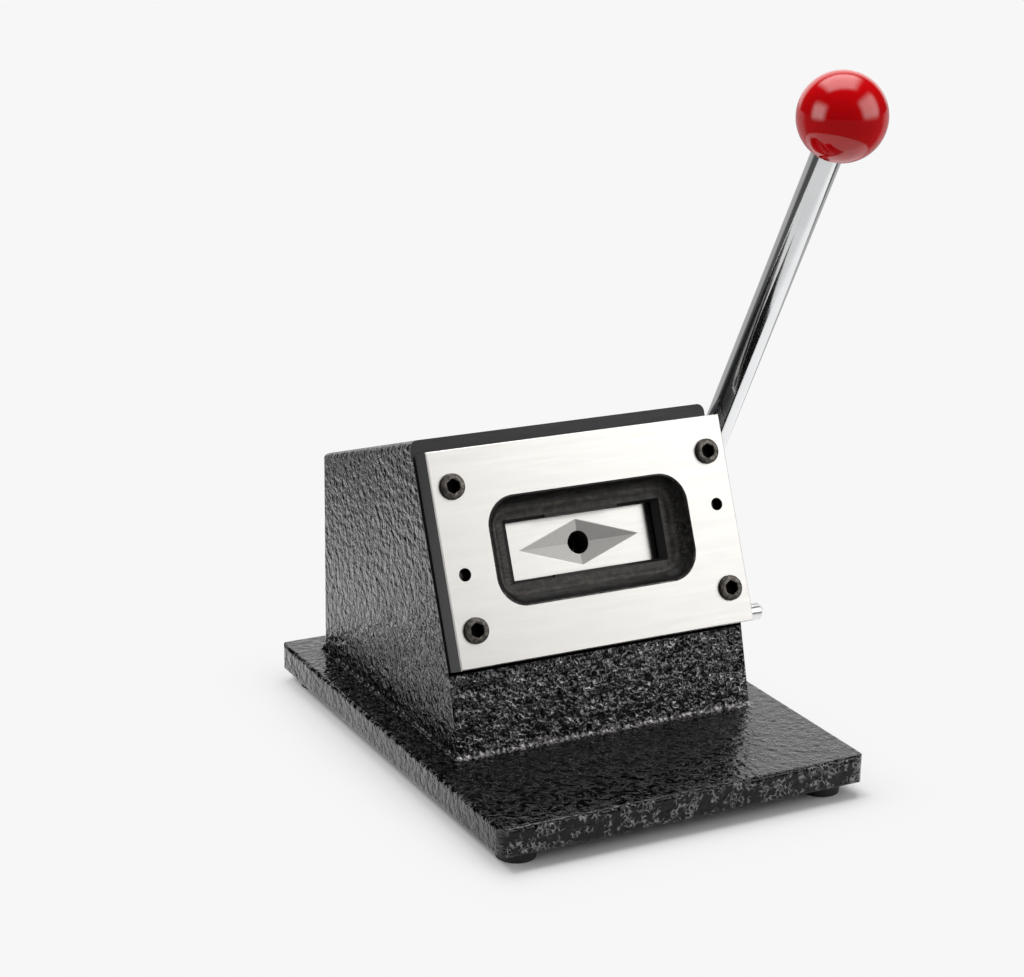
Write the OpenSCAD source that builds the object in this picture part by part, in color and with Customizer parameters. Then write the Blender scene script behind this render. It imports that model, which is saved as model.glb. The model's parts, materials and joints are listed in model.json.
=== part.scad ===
// Hand lever photo strip cutter: a punch, driven by an eccentric on the lever's
// shaft, pushes a picture out of a strip held in the slot behind the front die.
// Origin: centre of the base plate, on the table. +Y to the back, +Z up, mm.

/* [Base] */
// Thickness of the base plate
base_t = 11.5; // [8:0.5:16]
// Base plate left bare in front of the housing
base_front = 62.5; // [40:0.5:90]
// Base plate left bare behind the housing
base_rear = 15; // [13:0.5:40]
// Base plate left bare on each side of the housing
base_side = 13.5; // [10:0.5:30]
// Radius of the base plate's upright corners
base_corner_r = 5; // [1.5:0.5:8]
// Radius of the base plate's long edges
base_edge_r = 1.6; // [0.4:0.1:3]
// Diameter of a rubber foot where it meets the table
foot_d = 15; // [14:0.5:24]
// How much wider a foot is at its top
foot_flare = 1; // [0:0.25:3]
// Height of a rubber foot
foot_h = 5.5; // [5:0.5:12]
// Depth of the screw's recess under a foot
foot_recess = 3; // [2.5:0.5:4]
// Centre of a foot from the base plate's edges
foot_inset = 12.5; // [11:0.5:20]

/* [Housing] */
// Depth of the housing at its foot
body_d = 128.5; // [120:0.5:160]
// Height of the housing's rear wall
back_h = 85.6; // [80:0.2:105]
// Height of the front's kink above the base plate
kink_h = 31.8; // [28:0.2:45]
// How far the kink lies behind the foot of the front
kink_run = 8.6; // [5:0.2:12]
// Lean of the die face from the upright
face_lean = 23.1; // [18:0.1:28]
// Bare face left above the die plate
face_top = 6; // [3:0.5:12]
// Thickness of the walls
body_wall = 8; // [6:0.5:10]
// Thickness of the wall behind the die plate
face_wall = 14; // [12:0.5:18]
// Radius of the housing's outer edges
body_edge_r = 3; // [1.5:0.5:6]
// Room between the ram's ends and the side walls
side_room = 6; // [4:0.5:15]
// Diameter of the screw bosses inside the housing
boss_d = 15; // [13:0.5:20]
// Height of the screw bosses inside the housing
boss_h = 22; // [17:1:30]

/* [Die plate] */
// Height of the die plate along the face
plate_h = 83; // [80:0.5:100]
// Thickness of the die plate
plate_t = 10; // [8:0.5:14]
// Die plate's lower edge above the kink
plate_rise = 0.3; // [0:0.1:3]
// Die plate's ends inside the housing's sides
plate_inset = 0.5; // [0:0.1:3]
// Chamfer round the die plate's front
plate_chamfer = 0.4; // [0.2:0.1:1.5]
// Gap that takes the strip, behind the die plate
slot_gap = 1.3; // [0.6:0.1:2.5]
// Width of the strip passage between the spacers
strip_w = 102.4; // [90:0.2:115]
// Least metal between the strip passage and the die screws
strip_wall = 1.7; // [1:0.1:4]
// Spacers' outer edges inside the die plate's ends
spacer_inset = 1; // [0.4:0.1:2]
// Die screws' centres from the die plate's ends
screw_inset_x = 8.5; // [7.5:0.1:9]
// Die screws' centres from the die plate's long edges
screw_inset_y = 14.1; // [9:0.1:15]
// Depth of the die screws' counterbores
screw_sink = 4.25; // [1:0.25:5]
// Dowels' centres from the die plate's ends
dowel_inset = 7.85; // [7.5:0.05:9]
// Dowels' distance above and below the middle
dowel_offset = 6.1; // [4:0.1:12]
// Diameter of the dowels
dowel_d = 5; // [4:0.5:5]
// Depth of the dowels below the die plate's front
dowel_sink = 4.5; // [2:0.25:6]

/* [Window] */
// Straight wall of the cutting edge
cut_land = 0.8; // [0.5:0.1:1.5]
// Thickness left at the bottom of the window's cove
rim_t = 3; // [2:0.25:5]
// Relief beyond the cutting edge at the ends
relief_x = 2.6; // [0.5:0.1:4]
// Relief beyond the cutting edge along the long sides
relief_y = 1.2; // [0.3:0.05:1.5]
// Length of the unrelieved middle of the long sides
relief_mid = 32; // [10:1:50]
// Width of the cove round the window
cove_w = 8.5; // [6:0.1:9.5]
// Corner radius of the cove's inner rim
rim_r = 1.2; // [0.5:0.1:4]
// Corner radius of the window at the front
window_r = 12; // [6:0.5:16]

/* [Punch] */
// Width of the cut picture
punch_w = 64.3; // [60:0.1:75]
// Height of the cut picture
punch_h = 22.3; // [20:0.1:28]
// Punch's distance behind the housing's face at rest
punch_back = 1.7; // [0.5:0.1:3]
// Length of the diamond relief in the punch's face
diamond_w = 54; // [30:0.5:58]
// Height of the diamond relief in the punch's face
diamond_h = 18.5; // [12:0.5:19]
// Depth that the diamond's sides would meet at
diamond_depth = 1.3; // [1:0.1:4]
// Counterbore for the punch screw
punch_hole_d = 9; // [9:0.1:11]
// Depth of the punch screw's head seat
punch_hole_depth = 14; // [10:0.5:15]
// Clearance round the punch in its guide and die
punch_gap = 0.06; // [0.03:0.01:0.15]

/* [Ram] */
// Height of the ram
ram_h = 26; // [20:0.5:30]
// Thickness of the ram
ram_t = 14; // [13:0.5:18]
// Metal outside the spring pockets at the ram's ends
ram_end = 2.75; // [2:0.25:5]
// Room between ram and guide at the end of the stroke
ram_room = 1; // [0.5:0.25:3]
// Thickness of the wear plate
wear_t = 6.2; // [5:0.1:9]
// Width of the wear plate
wear_w = 46; // [42:0.5:60]
// Height of the wear plate
wear_h = 22; // [20:0.5:26]
// Diameter of the guide posts
post_d = 8; // [6:0.5:8]
// Step from a guide post to its foot
post_step = 1; // [0.5:0.25:1.5]
// Metal in front of a guide post's foot
post_floor = 3; // [2:0.5:5]
// Length of the guide posts behind the ram
post_over = 4; // [2:0.5:5]
// Running clearance round the guide posts, on the radius
post_gap = 0.05; // [0.02:0.01:0.1]
// Diameter of the spring pockets
pocket_d = 14.5; // [14:0.25:17]
// Depth of the spring pockets
pocket_depth = 8; // [6:0.5:9]
// Metal between the spring pockets and the punch's guide
pocket_wall = 1.6; // [1:0.1:3]
// Wire of the return springs
spring_wire = 1.5; // [1:0.1:1.6]
// Mean diameter of the return springs
spring_d = 11.4; // [10.5:0.1:12]
// Turns of the return springs
spring_turns = 6; // [4:1:7]

/* [Guide] */
// Thickness of the guide plate's flange
flange_t = 8; // [6:0.5:9]
// Ledge under the flange's ends
ledge_x = 3; // [2:0.25:3]
// Ledge under the flange's long sides
ledge_y = 6; // [5.5:0.25:6]
// Metal above and below the punch in its guide
guide_wall = 3.8; // [3:0.1:4]
// Clearance round the guide plate in the housing
guide_gap = 0.1; // [0.05:0.01:0.2]

/* [Shaft and cam] */
// Shaft's axis behind the housing's face
shaft_back = 58.7; // [56:0.1:64]
// Diameter of the shaft
shaft_d = 16; // [14:0.5:18]
// Radius of the eccentric cam
cam_r = 17; // [16:0.25:18]
// Offset of the eccentric cam
cam_throw = 5; // [4:0.1:5.5]
// Width of the eccentric cam
cam_w = 24; // [18:1:30]
// Gap between the cam and the wear plate
cam_gap = 0.3; // [0.2:0.05:0.4]
// Width and height of the cam's key
key_w = 5; // [4:0.5:6]
// Outer diameter of the bushings
bushing_d = 22; // [20:0.5:24]
// Length of the bushings
bushing_l = 14; // [12:0.5:15]
// Width of the bosses round the bushings, inside the walls
bushing_boss_l = 10; // [9:0.5:12]
// Diameter of the bosses round the bushings
bushing_boss_d = 30; // [28:0.5:34]
// Thickness of the outer bushing's flange
bushing_flange_t = 1.5; // [1:0.25:3]
// Diameter of the outer bushing's flange
bushing_flange_d = 28; // [25:0.5:32]
// Running clearance round the shaft, on the radius
shaft_gap = 0.04; // [0.02:0.01:0.1]
// End clearance of the shaft's pieces
end_gap = 0.3; // [0.2:0.05:0.6]
// Outer diameter of the shaft's spacer tubes
tube_d = 21; // [20:0.5:22]

/* [Lever] */
// Shaft's axis to the ball's centre
lever_len = 218.5; // [180:0.5:260]
// Forward lean of the lever at rest
lever_lean = 28.7; // [20:0.1:35]
// Forward swing of the lever to its stop
lever_swing = 68; // [60:0.5:70]
// Diameter of the lever's rod
rod_d = 12; // [10:0.5:14]
// Diameter of the ball knob
ball_d = 34; // [30:0.5:42]
// Flat on the ball, from its centre
ball_flat = 15.5; // [14:0.25:15.5]
// Diameter of the ball's threaded insert
insert_d = 12; // [12:0.5:16]
// Length of the ball's threaded insert
insert_l = 18; // [12:0.5:22]
// Diameter of the rod's thread in the ball
rod_top_d = 8; // [6:0.5:8]
// Diameter of the rod's thread in the hub
rod_foot_d = 10; // [8:0.5:10]
// Diameter of the lever's hub
hub_d = 34; // [32:0.5:40]
// Width of the lever's hub
hub_w = 19; // [16:0.5:24]
// Chamfer round the hub's ends
hub_chamfer = 1; // [0.5:0.25:2]
// Flat under the rod's shoulder, from the shaft's axis
hub_flat = 15.5; // [15:0.25:15.75]
// Diameter of the pin through hub and shaft
hub_pin_d = 5; // [4:0.5:6]
// Diameter of the stop pin
stop_d = 7; // [5:0.5:9]
// Gap between the lever and the stop pin at the end of the swing
stop_gap = 0.3; // [0.2:0.05:1]
// Stop pin's distance from the shaft
stop_reach = 61.2; // [56:0.1:64]
// How far the stop pin stands out of the housing
stop_out = 16.5; // [13:0.5:18]
// Depth of the stop pin in the housing
stop_in = 12; // [8:0.5:14]
// Chamfer of the stop pin's nose
stop_nose = 1.25; // [0.5:0.25:2]

/* [Fasteners] */
// Thread of the die screws and the housing screws
m_d = 6; // [5:0.5:6]
// Head diameter of those screws
m_head_d = 10; // [9:0.5:11]
// Head height of those screws
m_head_h = 6; // [5:0.5:7]
// Hexagon socket of those screws, across flats
m_hex = 5; // [4:0.5:5]
// Length of their thread in the housing
m_thread = 10; // [8:0.5:11]
// Thread of the punch screw
punch_screw_d = 5; // [4:0.5:5]
// Head diameter of the punch screw
punch_head_d = 8.5; // [7:0.1:8.5]
// Head height of the punch screw
punch_head_h = 5; // [4:0.5:6]
// Hexagon socket of the punch screw, across flats
punch_hex = 4; // [3:0.5:4]
// Thread of the foot screws
foot_screw_d = 4; // [3:0.5:5]
// Head diameter of the foot screws
foot_head_d = 8; // [7:0.5:9]
// Head height of the foot screws
foot_head_h = 2; // [1.5:0.5:2.5]
// Hexagon socket of the foot screws, across flats
foot_hex = 2; // [1.5:0.5:3]
// Metal left above the foot screws
foot_floor = 3; // [2:0.5:4]
// Thread of the flat-headed screws
flat_d = 3; // [2.5:0.5:3]
// Head diameter of the flat-headed screws
flat_head_d = 5.6; // [5:0.2:6]
// Hexagon socket of the flat-headed screws, across flats
flat_hex = 2; // [1.5:0.5:2]
// Clearance of still pieces in their seats
seat_gap = 0.05; // [0.02:0.01:0.1]

/* [Hidden] */
$fn = 72;
hull_fn = 32;
cut_over = 1;
reach = 600;
thin = 0.01;
coil_rings = 8;
coil_sides = 6;
cove_steps = 5;
key_len_room = 4;
head_chamfer = 0.6;
socket_depth = 3;

// Widths, from the punch and the strip outwards: the housing takes the ram, and the plate the strip
post_x = punch_w / 2 + pocket_wall + pocket_d / 2;
ram_w = 2 * (post_x + pocket_d / 2 + ram_end);
ram_need = ram_w + 2 * (side_room + body_wall);
strip_need = strip_w + 2 * (strip_wall + seat_gap + m_d / 2 + screw_inset_x + plate_inset);
body_w = max(ram_need, strip_need);
inner_w = body_w - 2 * body_wall;
base_w = body_w + 2 * base_side;
plate_w = body_w - 2 * plate_inset;
guide_w = 2 * (post_x + pocket_d / 2 + pocket_wall);
guide_h = punch_h + 2 * guide_wall;

// Side view of the housing, as [y, z]
base_d = base_front + body_d + base_rear;
base_top = foot_h + base_t;
body_front = -base_d / 2 + base_front;
body_back = body_front + body_d;
face_up = [sin(face_lean), cos(face_lean)];
face_out = [-cos(face_lean), sin(face_lean)];
face_len = plate_rise + plate_h + face_top;
foot_front = [body_front, base_top];
kink = foot_front + [kink_run, kink_h];
top_front = kink + face_len * face_up;
top_back = [body_back, base_top + back_h];
foot_back = [body_back, base_top];
roof_drop = atan2(top_front[1] - top_back[1], top_back[0] - top_front[0]);

// Middle of the die, on the housing's face, and the shaft's axis behind it
die_mid = kink + (plate_rise + plate_h / 2) * face_up;
pivot = die_mid - shaft_back * face_out;
stroke = 2 * cam_throw * sin(lever_swing / 2);

// Depths behind the housing's face, along the ram's travel
wear_back = shaft_back - cam_r + stroke / 2 - cam_gap;
ram_back = wear_back - wear_t;
ram_front = ram_back - ram_t;
guide_back = ram_front - stroke - ram_room;
post_seat = guide_back - pocket_depth;
post_foot_d = post_d - 2 * post_step;
post_foot_l = post_seat - post_floor;
spring_len = ram_front - guide_back + 2 * pocket_depth;
spring_pitch = (spring_len - 2 * spring_wire) / spring_turns;

// Heights in front of the housing's face
plate_front = slot_gap + plate_t;
screw_seat = plate_front - screw_sink;
cove_floor = slot_gap + rim_t;
rim_w = punch_w + 2 * relief_x;
rim_h = punch_h + 2 * relief_y;
screw_x = plate_w / 2 - screw_inset_x;
screw_y = plate_h / 2 - screw_inset_y;
dowel_x = plate_w / 2 - dowel_inset;
spacer_w = plate_w / 2 - spacer_inset - strip_w / 2;

// Places along the shaft and the lever
wall_in = inner_w / 2;
boss_end = wall_in - bushing_boss_l;
hub_start = body_w / 2 + bushing_flange_t + end_gap;
hub_end = hub_start + hub_w;
lever_x = (hub_start + hub_end) / 2;
shaft_start = -boss_end - bushing_l + end_gap;
tube_start = cam_w / 2 + seat_gap;
tube_end = boss_end - end_gap;
key_len = cam_w - key_len_room;
rod_top = lever_len - ball_flat;
rod_foot_l = hub_flat - shaft_d / 2 - 2 * end_gap;
stop_room = (rod_d + stop_d) / 2 + stop_gap;
stop_angle = lever_lean + lever_swing - 90 + asin(stop_room / stop_reach);
stop_at = pivot - stop_reach * [cos(stop_angle), sin(stop_angle)];

// Screw places
foot_x = base_w / 2 - foot_inset;
foot_y = base_d / 2 - foot_inset;
foot_screw_l = foot_h - foot_recess + base_t - foot_floor;
boss_x = inner_w / 2 - boss_d / 2 + body_wall / 2;
boss_front_y = body_front + kink_run + boss_d;
boss_back_y = body_back - body_wall / 2 - boss_d / 2;
guide_screw_x = post_x - pocket_d / 2 + flat_head_d / 2;
guide_screw_y = guide_h / 2 + ledge_y / 2;
wear_screw_x = (cam_w + wear_w) / 4;

// Line through a, towards b, moved to the right by d: [point, direction]
function side_line(a, b, d) =
    let (u = (b - a) / norm(b - a))
    [a + d * [u[1], -u[0]], u];
// Point where two such lines cross
function crossing(l, m) =
    let (w = m[0] - l[0])
    l[0] + l[1] * (w[0] * m[1][1] - w[1] * m[1][0]) / (l[1][0] * m[1][1] - l[1][1] * m[1][0]);
// Corner p between a and b rounded by r: [tangent point, tangent point, arc centre]
function round_corner(a, p, b, r) =
    let (u = (a - p) / norm(a - p))
    let (v = (b - p) / norm(b - p))
    let (half = acos(u * v) / 2)
    [p + u * r / tan(half), p + v * r / tan(half), p + (u + v) / norm(u + v) * r / sin(half)];
// Ring number i of a coil of wire d, mean radius r and given pitch
function coil_ring(i, r, d, pitch) =
    let (turn = 360 * i / coil_rings)
    let (out = [cos(turn), sin(turn), 0])
    let (run = [-r * sin(turn), r * cos(turn), pitch / 360 * 180 / PI])
    let (up = cross(out, run) / norm(cross(out, run)))
    [for (k = [0 : coil_sides - 1])
        let (a = 360 * k / coil_sides)
        r * out + [0, 0, pitch * i / coil_rings] + d / 2 * (cos(a) * out - sin(a) * up)];

// Rectangle with round corners, centred
module rounded_rect(w, h, r) {
    square([w - 2 * r, h], center = true);
    square([w, h - 2 * r], center = true);
    for (x = [-1, 1], y = [-1, 1])
        translate([x * (w / 2 - r), y * (h / 2 - r)])
            circle(r = r);
}

// Upright round bar from z0 to z1
module bar(d, z0, z1) {
    translate([0, 0, z0])
        cylinder(d = d, h = z1 - z0);
}

// Round bar along X from x0 to x1
module cross_bar(d, x0, x1) {
    translate([x0, 0, 0])
        rotate([0, 90, 0])
            cylinder(d = d, h = x1 - x0);
}

// Cone along X, from diameter d0 at x0 to d1 at x1
module cross_cone(d0, d1, x0, x1) {
    translate([x0, 0, 0])
        rotate([0, 90, 0])
            cylinder(d1 = d0, d2 = d1, h = x1 - x0);
}

// Block centred in x and y, from z0 to z1
module block(w, h, z0, z1) {
    translate([-w / 2, -h / 2, z0])
        cube([w, h, z1 - z0]);
}

// Block whose front edges, at z1, have a chamfer
module chamfered_block(w, h, z0, z1, c) {
    intersection() {
        rotate([90, 0, 0])
            linear_extrude(height = h, center = true)
                chamfered_section(w, z0, z1, c);
        rotate([90, 0, 90])
            linear_extrude(height = w, center = true)
                chamfered_section(h, z0, z1, c);
    }
}

// Section of such a block
module chamfered_section(w, z0, z1, c) {
    polygon([
        [-w / 2, z0], [w / 2, z0], [w / 2, z1 - c],
        [w / 2 - c, z1], [-w / 2 + c, z1], [-w / 2, z1 - c],
    ]);
}

// Socket-head screw: shank below z = 0, head above
module cap_screw(d, len, head_d, head_h, hex) {
    difference() {
        union() {
            bar(d, -len, head_chamfer);
            bar(head_d, 0, head_h - head_chamfer);
            translate([0, 0, head_h - head_chamfer])
                cylinder(d1 = head_d, d2 = head_d - 2 * head_chamfer, h = head_chamfer);
        }
        translate([0, 0, head_h - socket_depth])
            cylinder(d = hex / cos(30), h = socket_depth + cut_over, $fn = 6);
    }
}

// Flat-headed screw with its head's top at z = 0
module flat_screw(len) {
    difference() {
        union() {
            bar(flat_d, -len, -thin);
            flat_head();
        }
        translate([0, 0, -flat_hex])
            cylinder(d = flat_hex / cos(30), h = flat_hex + cut_over, $fn = 6);
    }
}

// Cone of a flat head
module flat_head() {
    sink = (flat_head_d - flat_d) / 2;
    translate([0, 0, -sink])
        cylinder(d1 = flat_d, d2 = flat_head_d, h = sink);
}

// Hole that takes a flat-headed screw
module flat_hole(len) {
    bar(flat_d + 2 * seat_gap, -len, cut_over);
    translate([0, 0, -seat_gap])
        flat_head();
    bar(flat_head_d + 2 * seat_gap, -seat_gap, cut_over);
}

// Frame of the die: z out of the housing's face, y up along it
module on_die() {
    translate([0, die_mid[0], die_mid[1]])
        rotate([90 - face_lean, 0, 0])
            children();
}

// Frame of the shaft: x along it, turned as the die's frame is
module on_shaft() {
    translate([0, pivot[0], pivot[1]])
        rotate([90 - face_lean, 0, 0])
            children();
}

// Frame of the lever: z along its rod
module on_lever() {
    translate([lever_x, pivot[0], pivot[1]])
        rotate([lever_lean, 0, 0])
            children();
}

// The eccentric's own axis at rest
module on_cam() {
    on_shaft()
        rotate([-lever_swing / 2, 0, 0])
            children();
}

module at_feet() {
    for (x = [-1, 1], y = [-1, 1])
        translate([x * foot_x, y * foot_y, 0])
            children();
}

module at_bosses() {
    for (x = [-boss_x, boss_x], y = [boss_front_y, boss_back_y])
        translate([x, y, base_top])
            children();
}

module at_die_screws() {
    for (x = [-1, 1], y = [-1, 1])
        translate([x * screw_x, y * screw_y, 0])
            children();
}

module at_dowels() {
    for (side = [-1, 1])
        translate([side * dowel_x, side * dowel_offset, 0])
            children();
}

module at_guide_screws() {
    for (x = [-1, 1], y = [-1, 1])
        translate([x * guide_screw_x, y * guide_screw_y, 0])
            children();
}

module at_wear_screws() {
    for (x = [-1, 1])
        translate([x * wear_screw_x, 0, 0])
            children();
}

module base_plate() {
    color("dimgray")
        difference() {
            intersection() {
                translate([0, 0, foot_h])
                    linear_extrude(height = base_t)
                        rounded_rect(base_w, base_d, base_corner_r);
                translate([0, 0, foot_h + base_t / 2])
                    rotate([90, 0, 0])
                        linear_extrude(height = base_d, center = true)
                            rounded_rect(base_w, base_t, base_edge_r);
                translate([0, 0, foot_h + base_t / 2])
                    rotate([90, 0, 90])
                        linear_extrude(height = base_w, center = true)
                            rounded_rect(base_d, base_t, base_edge_r);
            }
            at_feet()
                bar(foot_screw_d + 2 * seat_gap, 0, base_top - foot_floor);
            at_bosses() {
                bar(m_d + 2 * seat_gap, -base_t - cut_over, cut_over);
                bar(m_head_d + 2 * seat_gap, -base_t - cut_over, m_head_h - base_t);
            }
        }
}

// Rubber foot in the corner given by the signs of x and y
module rubber_foot(x, y) {
    color("black")
        translate([x * foot_x, y * foot_y, 0])
            difference() {
                cylinder(d1 = foot_d, d2 = foot_d + foot_flare, h = foot_h);
                bar(foot_screw_d + 2 * seat_gap, -cut_over, foot_h + cut_over);
                bar(foot_head_d + 2 * seat_gap, -cut_over, foot_recess);
            }
}

module foot_screws() {
    color("silver")
        at_feet()
            translate([0, 0, foot_recess])
                rotate([180, 0, 0])
                    cap_screw(foot_screw_d, foot_screw_l, foot_head_d, foot_head_h, foot_hex);
}

// Side view of the housing, with its rear top corner rounded
module housing_outline() {
    corner = round_corner(top_front, top_back, foot_back, body_edge_r);
    polygon([foot_front, kink, top_front, corner[0], corner[1], foot_back]);
    translate(corner[2])
        circle(r = body_edge_r);
}

// Side view of the housing's hollow, open below
module housing_hollow() {
    floor_line = side_line(foot_back, foot_front, -cut_over);
    low_line = side_line(foot_front, kink, body_wall);
    face_line = side_line(kink, top_front, face_wall);
    roof_line = side_line(top_front, top_back, body_wall);
    back_line = side_line(top_back, foot_back, body_wall);
    polygon([
        crossing(floor_line, low_line), crossing(low_line, face_line), crossing(face_line, roof_line),
        crossing(roof_line, back_line), crossing(back_line, floor_line),
    ]);
}

// Turns a side view, drawn as [y, z], into a solid of width w
module side_extrude(w) {
    rotate([90, 0, 90])
        linear_extrude(height = w, center = true)
            children();
}

module housing() {
    color("dimgray")
        difference() {
            union() {
                difference() {
                    intersection() {
                        side_extrude(body_w)
                            housing_outline();
                        translate([0, top_front[0], top_front[1]])
                            rotate([-90 - roof_drop, 0, 0])
                                linear_extrude(height = reach, center = true)
                                    translate([0, reach / 2])
                                        rounded_rect(body_w, reach, body_edge_r);
                        translate([0, body_back - reach / 2, 0])
                            linear_extrude(height = reach)
                                rounded_rect(body_w, reach, body_edge_r);
                    }
                    side_extrude(inner_w)
                        housing_hollow();
                }
                for (side = [-1, 1])
                    translate([0, pivot[0], pivot[1]])
                        cross_bar(bushing_boss_d, min(side * boss_end, side * (wall_in + cut_over)),
                            max(side * boss_end, side * (wall_in + cut_over)));
                at_bosses()
                    bar(boss_d, 0, boss_h);
            }
            translate([0, pivot[0], pivot[1]]) {
                cross_bar(bushing_d + 2 * seat_gap, boss_end - cut_over, body_w / 2 + cut_over);
                cross_bar(bushing_d + 2 * seat_gap, -boss_end - bushing_l, -boss_end + cut_over);
            }
            translate([0, stop_at[0], stop_at[1]])
                cross_bar(stop_d + 2 * seat_gap, body_w / 2 - stop_in, body_w / 2 + cut_over);
            at_bosses()
                bar(m_d + 2 * seat_gap, -cut_over, m_thread + m_d);
            on_die() {
                block(guide_w + 2 * ledge_x, guide_h + 2 * ledge_y, -flange_t, cut_over);
                block(guide_w, guide_h, -face_wall - cut_over, cut_over);
                at_die_screws()
                    bar(m_d + 2 * seat_gap, -m_thread - cut_over, cut_over);
                at_dowels()
                    bar(dowel_d + 2 * seat_gap, -m_thread, cut_over);
                at_guide_screws()
                    bar(flat_d + 2 * seat_gap, -face_wall - cut_over, 0);
            }
        }
}

module housing_screws() {
    color("#303032")
        at_bosses()
            translate([0, 0, m_head_h - base_t])
                rotate([180, 0, 0])
                    cap_screw(m_d, base_t - m_head_h + m_thread, m_head_d, m_head_h, m_hex);
}

module guide_plate() {
    color("#6a6a6c")
        on_die()
            difference() {
                union() {
                    block(guide_w + 2 * (ledge_x - guide_gap), guide_h + 2 * (ledge_y - guide_gap),
                        -flange_t, 0);
                    block(guide_w - 2 * guide_gap, guide_h - 2 * guide_gap, -guide_back, 0);
                }
                block(punch_w + 2 * punch_gap, punch_h + 2 * punch_gap, -guide_back - cut_over, cut_over);
                at_guide_screws()
                    flat_hole(flange_t + cut_over);
                for (side = [-1, 1])
                    translate([side * post_x, 0, 0]) {
                        bar(pocket_d, -guide_back - cut_over, -post_seat);
                        bar(post_foot_d + 2 * seat_gap, -post_seat - cut_over, -post_seat + post_foot_l);
                    }
            }
}

module guide_screws() {
    color("#303032")
        on_die()
            at_guide_screws()
                flat_screw(face_wall);
}

// Post on the left (side -1) or the right (side 1)
module guide_post(side) {
    color("silver")
        on_die()
            translate([side * post_x, 0, 0]) {
                bar(post_d, -ram_back - post_over, -post_seat);
                bar(post_foot_d, -post_seat - cut_over, -post_seat + post_foot_l);
            }
}

// Spring round the post on the left (side -1) or the right (side 1)
module return_spring(side) {
    last = coil_rings * spring_turns;
    rings = [for (i = [0 : last]) coil_ring(i, spring_d / 2, spring_wire, spring_pitch)];
    sides = [for (i = [0 : last - 1], k = [0 : coil_sides - 1])
        let (a = i * coil_sides + k)
        let (b = i * coil_sides + (k + 1) % coil_sides)
        each [[a, a + coil_sides, b], [b, a + coil_sides, b + coil_sides]]];
    ends = [for (k = [1 : coil_sides - 2])
        each [[0, k, k + 1], [last * coil_sides, last * coil_sides + k + 1, last * coil_sides + k]]];
    gap = min([for (i = [0 : last - coil_rings], a = rings[i], b = rings[i + coil_rings]) norm(a - b)]);
    echo(least_gap_in_spring = gap);
    color("silver")
        on_die()
            translate([side * post_x, 0, -post_seat - spring_len + spring_wire])
                polyhedron(points = [for (ring = rings) each ring], faces = concat(sides, ends));
}

// Spacer on the left (side -1) or the right (side 1)
module spacer(side) {
    color("#202022")
        on_die()
            difference() {
                translate([side * (strip_w + spacer_w) / 2, 0, 0])
                    block(spacer_w, plate_h, 0, slot_gap);
                at_die_screws()
                    bar(m_d + 2 * seat_gap, -cut_over, slot_gap + cut_over);
                at_dowels()
                    bar(dowel_d + 2 * seat_gap, -cut_over, slot_gap + cut_over);
            }
}

// Outline of the window, grown by the cove's width at the given angle
module cove_slice(angle) {
    grow = 2 * cove_w * sin(angle);
    translate([0, 0, plate_front - (plate_front - cove_floor) * cos(angle)])
        linear_extrude(height = thin)
            rounded_rect(rim_w + grow, rim_h + grow, rim_r + (window_r - rim_r) * sin(angle), $fn = hull_fn);
}

// Opening of the die: cutting edge, reliefs at its ends, and the cove in front
module die_opening() {
    opening_w = punch_w + 2 * punch_gap;
    opening_h = punch_h + 2 * punch_gap;
    block(opening_w, opening_h, slot_gap - cut_over, plate_front);
    difference() {
        hull() {
            block(opening_w, opening_h, slot_gap + cut_land, slot_gap + cut_land + thin);
            block(rim_w, rim_h, cove_floor, cove_floor + thin);
        }
        block(relief_mid, rim_h + cut_over, slot_gap, plate_front);
    }
    for (i = [1 : cove_steps])
        hull() {
            cove_slice(90 * (i - 1) / cove_steps);
            cove_slice(90 * i / cove_steps);
        }
}

module die_plate() {
    color("gainsboro")
        on_die()
            difference() {
                chamfered_block(plate_w, plate_h, slot_gap, plate_front, plate_chamfer);
                die_opening();
                at_die_screws() {
                    bar(m_d + 2 * seat_gap, slot_gap - cut_over, plate_front);
                    bar(m_head_d + 2 * seat_gap, screw_seat, plate_front + cut_over);
                }
                at_dowels()
                    bar(dowel_d + 2 * seat_gap, slot_gap - cut_over, plate_front + cut_over);
            }
}

module die_screws() {
    color("#303032")
        on_die()
            at_die_screws()
                translate([0, 0, screw_seat])
                    cap_screw(m_d, screw_seat + m_thread, m_head_d, m_head_h, m_hex);
}

module dowel_pins() {
    color("silver")
        on_die()
            at_dowels()
                bar(dowel_d, -m_thread, plate_front - dowel_sink);
}

module stop_pin() {
    tip = body_w / 2 + stop_out;
    color("silver")
        translate([0, stop_at[0], stop_at[1]]) {
            cross_bar(stop_d, body_w / 2 - stop_in, tip - stop_nose);
            cross_cone(stop_d, stop_d - 2 * stop_nose, tip - stop_nose, tip);
        }
}

// Bushing from x0 to x1, bored for the shaft
module bushing(x0, x1) {
    difference() {
        cross_bar(bushing_d, x0, x1);
        cross_bar(shaft_d + 2 * shaft_gap, x0 - cut_over, x1 + cut_over);
    }
}

module left_bushing() {
    color("#b08d57")
        on_shaft()
            bushing(-boss_end - bushing_l, -boss_end);
}

module right_bushing() {
    flange = body_w / 2;
    color("#b08d57")
        on_shaft() {
            bushing(boss_end, flange);
            difference() {
                cross_bar(bushing_flange_d, flange, flange + bushing_flange_t);
                cross_bar(shaft_d + 2 * shaft_gap, flange - cut_over, flange + bushing_flange_t + cut_over);
            }
        }
}

module cam_shaft() {
    color("silver")
        difference() {
            on_shaft()
                cross_bar(shaft_d, shaft_start, hub_end);
            key_room(seat_gap);
            on_lever()
                hub_pin_bar(hub_pin_d + 2 * seat_gap, shaft_d);
        }
}

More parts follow.
